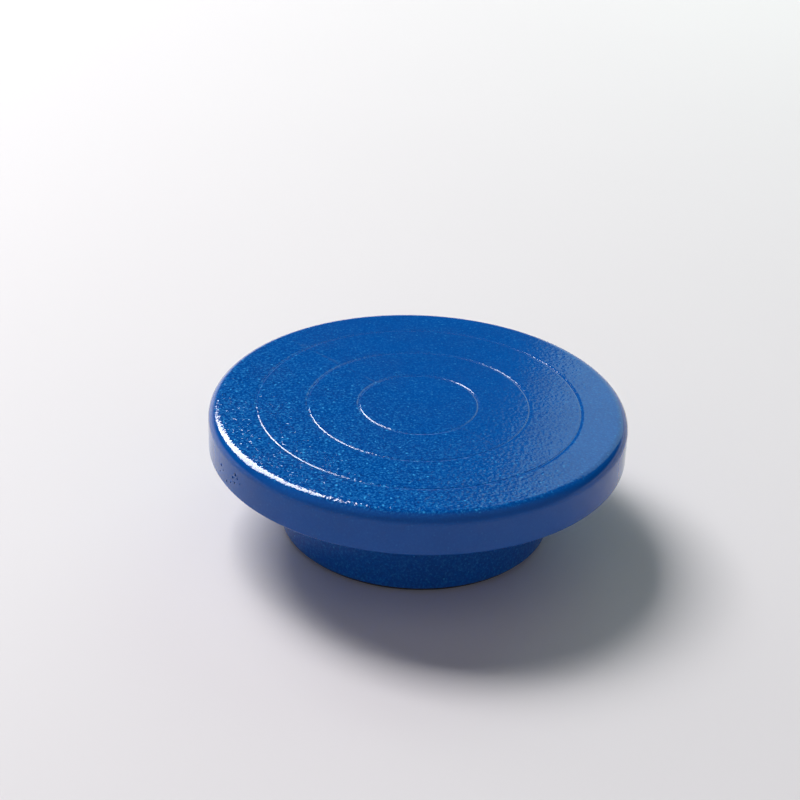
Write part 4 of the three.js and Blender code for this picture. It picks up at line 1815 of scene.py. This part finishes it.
@dataclass
class BallBearing(SubAssembly):
    """The shielded ball bearing, with eight balls in a riveted ribbon cage."""

    segments: int = 160
    bore: float = 15.0 * MM
    ball_count: int = 8
    ball_radius: float = 2.9765 * MM
    raceway_clearance: float = 0.08 * MM
    land_offset: float = 1.65 * MM
    shield_thickness: float = 0.4 * MM
    shield_seat: float = 1.05 * MM
    shield_inset: float = 1.0 * MM
    shield_gap: float = 0.2 * MM
    chamfer: float = 0.4 * MM
    strip: float = 0.6 * MM
    strip_half_width: float = 1.3 * MM
    pocket_gap: float = 0.12 * MM
    rivet_radius: float = 0.4 * MM
    rivet_head_radius: float = 0.75 * MM
    rivet_head_height: float = 0.35 * MM
    rivet_clearance: float = 0.03 * MM

    @property
    def ball_circle(self) -> float:
        """Radius of the circle of ball centres."""
        return (self.bore / 2.0 + self.levels.bearing_radius) / 2.0

    @property
    def rivet_spots(self) -> list[tuple[float, float, float]]:
        """Angle, x and y of each rivet, midway between two balls."""
        return list(places(self.ball_count, self.ball_circle, math.pi / self.ball_count))

    def raceway(self, from_outside: bool) -> list[Corner]:
        """Outline of a raceway's groove.

        Args:
            from_outside: Whether it is cut in the outer ring.

        Returns:
            Its corners, in the order that the ring's outline takes them.
        """
        radius = self.ball_radius + self.raceway_clearance
        reach = math.acos(self.land_offset / radius)
        centre = (self.ball_circle, self.levels.bearing_middle)
        if from_outside:
            return arc(centre, radius, reach, -reach, 20)
        return arc(centre, radius, math.pi + reach, math.pi - reach, 20)

    def rings(self) -> None:
        """Grinds the inner and the outer ring."""
        lv = self.levels
        bore = self.bore / 2.0
        inner_land = self.ball_circle - self.land_offset
        outer_land = self.ball_circle + self.land_offset
        seat = outer_land + self.shield_seat
        low = lv.bearing_bottom
        high = lv.bearing_top
        corners = [
            Corner(bore, low, self.chamfer),
            Corner(inner_land, low, 0.2 * MM),
            *self.raceway(from_outside=False),
            Corner(inner_land, high, 0.2 * MM),
            Corner(bore, high, self.chamfer),
        ]
        ring = turned("inner", corners, self.segments, closed=True)
        self.dress(ring, "bearing_inner_ring", Body.WHEEL.value, Slot.GROUND, Finish.GROUND_STEEL)
        corners = [
            Corner(seat, low, 0.1 * MM),
            Corner(lv.bearing_radius, low, self.chamfer),
            Corner(lv.bearing_radius, high, self.chamfer),
            Corner(seat, high, 0.1 * MM),
            Corner(seat, high - self.shield_inset),
            Corner(outer_land, high - self.shield_inset),
            *self.raceway(from_outside=True),
            Corner(outer_land, low + self.shield_inset),
            Corner(seat, low + self.shield_inset),
        ]
        ring = turned("outer", corners, self.segments, closed=True)
        self.dress(ring, "bearing_outer_ring", Body.BASE.value, Slot.GROUND, Finish.GROUND_STEEL)

    def shields(self) -> None:
        """Presses the two shields, each with a shallow stiffening step."""
        lv = self.levels
        inner = self.ball_circle - self.land_offset + self.shield_gap
        outer = self.ball_circle + self.land_offset + self.shield_seat - 0.03 * MM
        step = 0.25 * MM
        middle = (inner + outer) / 2.0
        for node, face, inward in (
            ("bearing_upper_shield", lv.bearing_top - self.shield_inset + self.shield_thickness, -1.0),
            ("bearing_lower_shield", lv.bearing_bottom + self.shield_inset - self.shield_thickness, 1.0),
        ):
            back = face + inward * self.shield_thickness
            sunk = inward * step
            soft = 0.12 * MM
            corners = [
                Corner(outer, face, soft),
                Corner(middle + 0.4 * MM, face, 0.3 * MM),
                Corner(middle - 0.1 * MM, face + sunk, 0.3 * MM),
                Corner(inner, face + sunk, soft),
                Corner(inner, back + sunk, soft),
                Corner(middle - 0.1 * MM, back + sunk, 0.3 * MM),
                Corner(middle + 0.4 * MM, back, 0.3 * MM),
                Corner(outer, back, soft),
            ]
            shield = turned("shield", corners, self.segments, closed=True)
            self.dress(shield, node, Body.BASE.value, Slot.PRESSED, Finish.PRESSED_STEEL)

    def dome(self, x: float, y: float, radius: float) -> float:
        """Height of a cage half's skin above the balls' plane.

        Args:
            x: Place along X.
            y: Place along Y.
            radius: Radius of the pocket's dome.

        Returns:
            The height, or 0 between the pockets.
        """
        height = 0.0
        for _, bx, by in places(self.ball_count, self.ball_circle):
            room = radius**2 - (x - bx) ** 2 - (y - by) ** 2
            if room > 0.0:
                height = max(height, math.sqrt(room))
        return height

    def cage_half(self, side: float) -> bpy.types.Object:
        """Presses one half of the ribbon cage.

        Args:
            side: 1 for the upper half and -1 for the lower.

        Returns:
            The half, with its rivet holes.
        """
        around = 480
        across = 6
        pocket = self.ball_radius + self.pocket_gap
        middle = self.levels.bearing_middle
        shape = bmesh.new()
        skins: list[list[list[bmesh.types.BMVert]]] = []
        for radius, rest in ((pocket, 0.0), (pocket + self.strip, self.strip)):
            skin = []
            for j in range(across + 1):
                r = self.ball_circle + self.strip_half_width * (2.0 * j / across - 1.0)
                row = []
                for i in range(around):
                    angle = TAU * i / around
                    x, y = r * math.cos(angle), r * math.sin(angle)
                    row.append(shape.verts.new((x, y, middle + side * max(rest, self.dome(x, y, radius)))))
                skin.append(row)
            skins.append(skin)
        for i in range(around):
            k = (i + 1) % around
            for skin in skins:
                for low, high in zip(skin, skin[1:]):
                    shape.faces.new((low[i], low[k], high[k], high[i]))
            for j in (0, across):
                shape.faces.new((skins[0][j][i], skins[0][j][k], skins[1][j][k], skins[1][j][i]))
        half = from_bmesh("cage", shape)
        hole = self.rivet_radius + self.rivet_clearance
        holes = [rod(hole, middle - MM, middle + MM, x, y, 24) for _, x, y in self.rivet_spots]
        reshape(half, merged("holes", holes), Join.CUT)
        return half

    def rivet(self) -> bpy.types.Mesh:
        """Heads a rivet: a shank with two domed heads, about z = 0.

        Returns:
            The rivet's mesh.
        """
        shank = self.rivet_radius
        head = self.rivet_head_radius
        seat = self.strip
        tip = seat + self.rivet_head_height
        corners = [
            Corner(0.0, -tip),
            Corner(head * 0.7, -tip, 0.25 * MM),
            Corner(head, -seat - 0.1 * MM, 0.1 * MM),
            Corner(head, -seat),
            Corner(shank, -seat),
            Corner(shank, seat),
            Corner(head, seat),
            Corner(head, seat + 0.1 * MM, 0.1 * MM),
            Corner(head * 0.7, tip, 0.25 * MM),
            Corner(0.0, tip),
        ]
        made = turned("rivet", corners, 32, closed=False)
        mesh = made.data
        bpy.data.objects.remove(made)
        return mesh

    def cage(self) -> None:
        """Builds the cage's halves and rivets."""
        body = Body.CAGE.value
        for node, side in (("cage_upper", 1.0), ("cage_lower", -1.0)):
            self.dress(self.cage_half(side), node, body, Slot.PRESSED, Finish.PRESSED_STEEL)
        mesh = self.rivet()
        for i, (_, x, y) in enumerate(self.rivet_spots, start=1):
            rivet = placed(mesh, x, y, self.levels.bearing_middle)
            self.dress(rivet, f"cage_rivet_{i}", body, Slot.PRESSED, Finish.PRESSED_STEEL)

    def balls(self) -> None:
        """Laps the balls: each is turned from a half circle."""
        outline = arc((0.0, 0.0), self.ball_radius, -math.pi / 2.0, math.pi / 2.0, 32)
        outline = [Corner(max(c.r, 0.0), c.z) for c in outline]
        master = turned("ball", outline, 64, closed=False)
        mesh = master.data
        bpy.data.objects.remove(master)
        for i, (_, x, y) in enumerate(places(self.ball_count, self.ball_circle), start=1):
            ball = placed(mesh, x, y, self.levels.bearing_middle)
            self.dress(ball, f"ball_{i}", f"ball_{i}", Slot.GROUND, Finish.GROUND_STEEL)

    def build(self) -> None:
        """Builds the whole bearing."""
        self.rings()
        self.shields()
        self.cage()
        self.balls()


# ---------------------------------------------------------------------------------------------
# Studio
# ---------------------------------------------------------------------------------------------


class Reach(Enum):
    """What a lamp does."""

    ALL = "all"
    SURFACES = "surfaces"
    REFLECTIONS = "reflections"


@dataclass(frozen=True)
class Lamp:
    """A soft box.

    Attributes:
        name: Name of the light.
        azimuth: Direction that it stands in, in degrees from +X towards +Y.
        elevation: Its height over the horizon, in degrees.
        distance: Its distance from the wheel, in metres.
        size: Width and height, in metres.
        radiance: Brightness of its face.
        roll: Turn of the box about its own axis, in degrees.
        color: Colour of its light.
        reach: Whether it lights surfaces, shows in reflections, or both.
    """

    name: str
    azimuth: float
    elevation: float
    distance: float
    size: tuple[float, float]
    radiance: float
    roll: float = 0.0
    color: Color = (1.0, 1.0, 1.0)
    reach: Reach = Reach.ALL

    def hang(self) -> None:
        """Puts the light in the scene."""
        data = bpy.data.lights.new(self.name, "AREA")
        data.shape = "RECTANGLE"
        data.size, data.size_y = self.size
        data.energy = self.radiance * math.pi * self.size[0] * self.size[1]
        data.color = self.color
        lamp = bpy.data.objects.new(self.name, data)
        azimuth, elevation = math.radians(self.azimuth), math.radians(self.elevation)
        level = math.cos(elevation)
        outward = Vector((level * math.cos(azimuth), level * math.sin(azimuth), math.sin(elevation)))
        lamp.location = outward * self.distance
        aimed = (-outward).to_track_quat("-Z", "Y").to_matrix()
        lamp.rotation_euler = (aimed @ Matrix.Rotation(math.radians(self.roll), 3, "Z")).to_euler()
        lamp.visible_camera = False
        lamp.visible_glossy = self.reach is not Reach.SURFACES
        lamp.visible_diffuse = self.reach is not Reach.REFLECTIONS
        bpy.context.scene.collection.objects.link(lamp)


@dataclass(frozen=True)
class Studio:
    """Pale sweep of floor, soft light and the camera.

    Attributes:
        floor_size: Side of the floor, in metres.
        floor_gap: How far the floor lies below the wheel, in metres, so that no two faces meet.
        floor_color: Colour of the floor.
        floor_shade: Brightness of its darker patches, beside the rest of it.
        floor_patch: Size of those patches, in metres.
        floor_roughness: Roughness of the floor.
        back_sky: Colour of the dim light from the far side.
        front_sky: Colour of the soft light from the near side.
        back_horizon: Colour of the light near the horizon on the far side.
        horizon_color: Colour of the light near the horizon on the near side.
        horizon_reach: Sines of the heights where the horizon's light starts to fade and has gone.
        sides_blend: How far along +Y the near side's light starts to give way, and has given way.
        elevation: Camera's height over the horizon, in degrees.
        roll: Camera's roll, in degrees.
        distance: Camera's distance from its target, in metres.
        lens: Focal length, in millimetres.
        sensor: Width of the sensor, in millimetres.
        clip: Nearest and farthest distances that the camera sees, in metres.
        target: Point on the bench that the camera looks at.
        lamps: The lamps.
    """

    floor_size: float = 6.0
    floor_gap: float = 0.02 * MM
    floor_color: Color = (0.79, 0.75, 0.765)
    floor_shade: float = 0.985
    floor_patch: float = 0.3
    floor_roughness: float = 0.7
    back_sky: Color = (0.02, 0.03, 0.045)
    front_sky: Color = (0.26, 0.26, 0.29)
    back_horizon: Color = (1.1, 1.08, 1.08)
    horizon_color: Color = (0.4, 0.4, 0.42)
    horizon_reach: Point = (0.02, 0.25)
    sides_blend: Point = (-0.3, 0.3)
    elevation: float = 28.803
    roll: float = 2.125
    distance: float = 572.9 * MM
    lens: float = 85.54
    sensor: float = 36.0
    clip: Point = (0.01, 20.0)
    target: Point = (-4.935 * MM, 65.372 * MM)
    lamps: tuple[Lamp, ...] = (
        Lamp(
            "key",
            azimuth=133.0,
            elevation=51.0,
            distance=3.0,
            size=(1.5, 1.05),
            radiance=17.0,
            roll=-52.0,
            reach=Reach.SURFACES,
        ),
        Lamp(
            "key_shine",
            azimuth=128.5,
            elevation=43.5,
            distance=2.6,
            size=(1.6, 1.7),
            radiance=21.0,
            roll=42.7,
            reach=Reach.REFLECTIONS,
        ),
        Lamp(
            "back_left",
            azimuth=121.0,
            elevation=26.0,
            distance=2.6,
            size=(0.75, 0.6),
            radiance=1.8,
            reach=Reach.SURFACES,
        ),
        Lamp(
            "back_right",
            azimuth=62.5,
            elevation=29.0,
            distance=0.95,
            size=(0.6, 0.6),
            radiance=1.2,
            color=(0.7, 1.0, 0.8),
        ),
    )

    def floor(self) -> None:
        """Lays the floor."""
        shape = bmesh.new()
        bmesh.ops.create_grid(shape, x_segments=8, y_segments=8, size=self.floor_size / 2.0)
        floor = from_bmesh("floor", shape)
        floor.data.transform(Matrix.Translation((0.0, 0.0, -self.floor_gap)))
        material, sheet, shader = start_material("studio_floor")
        patch = Patches.use(sheet, Patch_Size=self.floor_patch)["Value"]
        darker = tuple(self.floor_shade * c for c in self.floor_color)
        sheet.feed(shader.inputs["Base Color"], sheet.mix(patch, self.floor_color, darker))
        shader.inputs["Roughness"].default_value = self.floor_roughness
        floor.data.materials.append(material)

    def world(self) -> None:
        """Sets the light from all round."""
        world = bpy.data.worlds.new("studio")
        world.use_nodes = True
        sheet = NodeSheet(world.node_tree)
        split = sheet.node("ShaderNodeSeparateXYZ")
        sheet.feed(split.inputs[0], sheet.place("Generated"))
        far_side = sheet.ramp(split.outputs["Y"], *self.sides_blend)
        sky = sheet.mix(far_side, self.front_sky, self.back_sky)
        low = sheet.mix(far_side, self.horizon_color, self.back_horizon)
        upward = sheet.ramp(split.outputs["Z"], *self.horizon_reach)
        background = world.node_tree.nodes["Background"]
        sheet.feed(background.inputs["Color"], sheet.mix(upward, low, sky))
        bpy.context.scene.world = world

    def camera(self) -> None:
        """Places the camera."""
        data = bpy.data.cameras.new("camera")
        data.sensor_width = self.sensor
        data.lens = self.lens
        data.clip_start, data.clip_end = self.clip
        camera = bpy.data.objects.new("camera", data)
        tilt = math.radians(self.elevation)
        target = Vector((*self.target, 0.0))
        back = Vector((0.0, -math.cos(tilt), math.sin(tilt)))
        camera.location = target + back * self.distance
        level = (-back).to_track_quat("-Z", "Y").to_matrix()
        camera.rotation_euler = (level @ Matrix.Rotation(math.radians(self.roll), 3, "Z")).to_euler()
        bpy.context.scene.collection.objects.link(camera)
        bpy.context.scene.camera = camera

    def build(self) -> None:
        """Sets up the studio."""
        self.camera()
        self.floor()
        self.world()
        for lamp in self.lamps:
            lamp.hang()
        view = bpy.context.scene.view_settings
        view.view_transform = "Standard"
        view.look = "None"


def main() -> None:
    """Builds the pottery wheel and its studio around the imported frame."""
    logging.basicConfig(level=logging.INFO, format="%(name)s: %(message)s")
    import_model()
    levels = Levels.from_frame()
    shelf = FinishShelf()
    Studio().build()
    for part in (WheelHead, SpindleSet, BaseSet, BallBearing):
        part(levels, shelf).build()


if __name__ == "__main__":
    main()
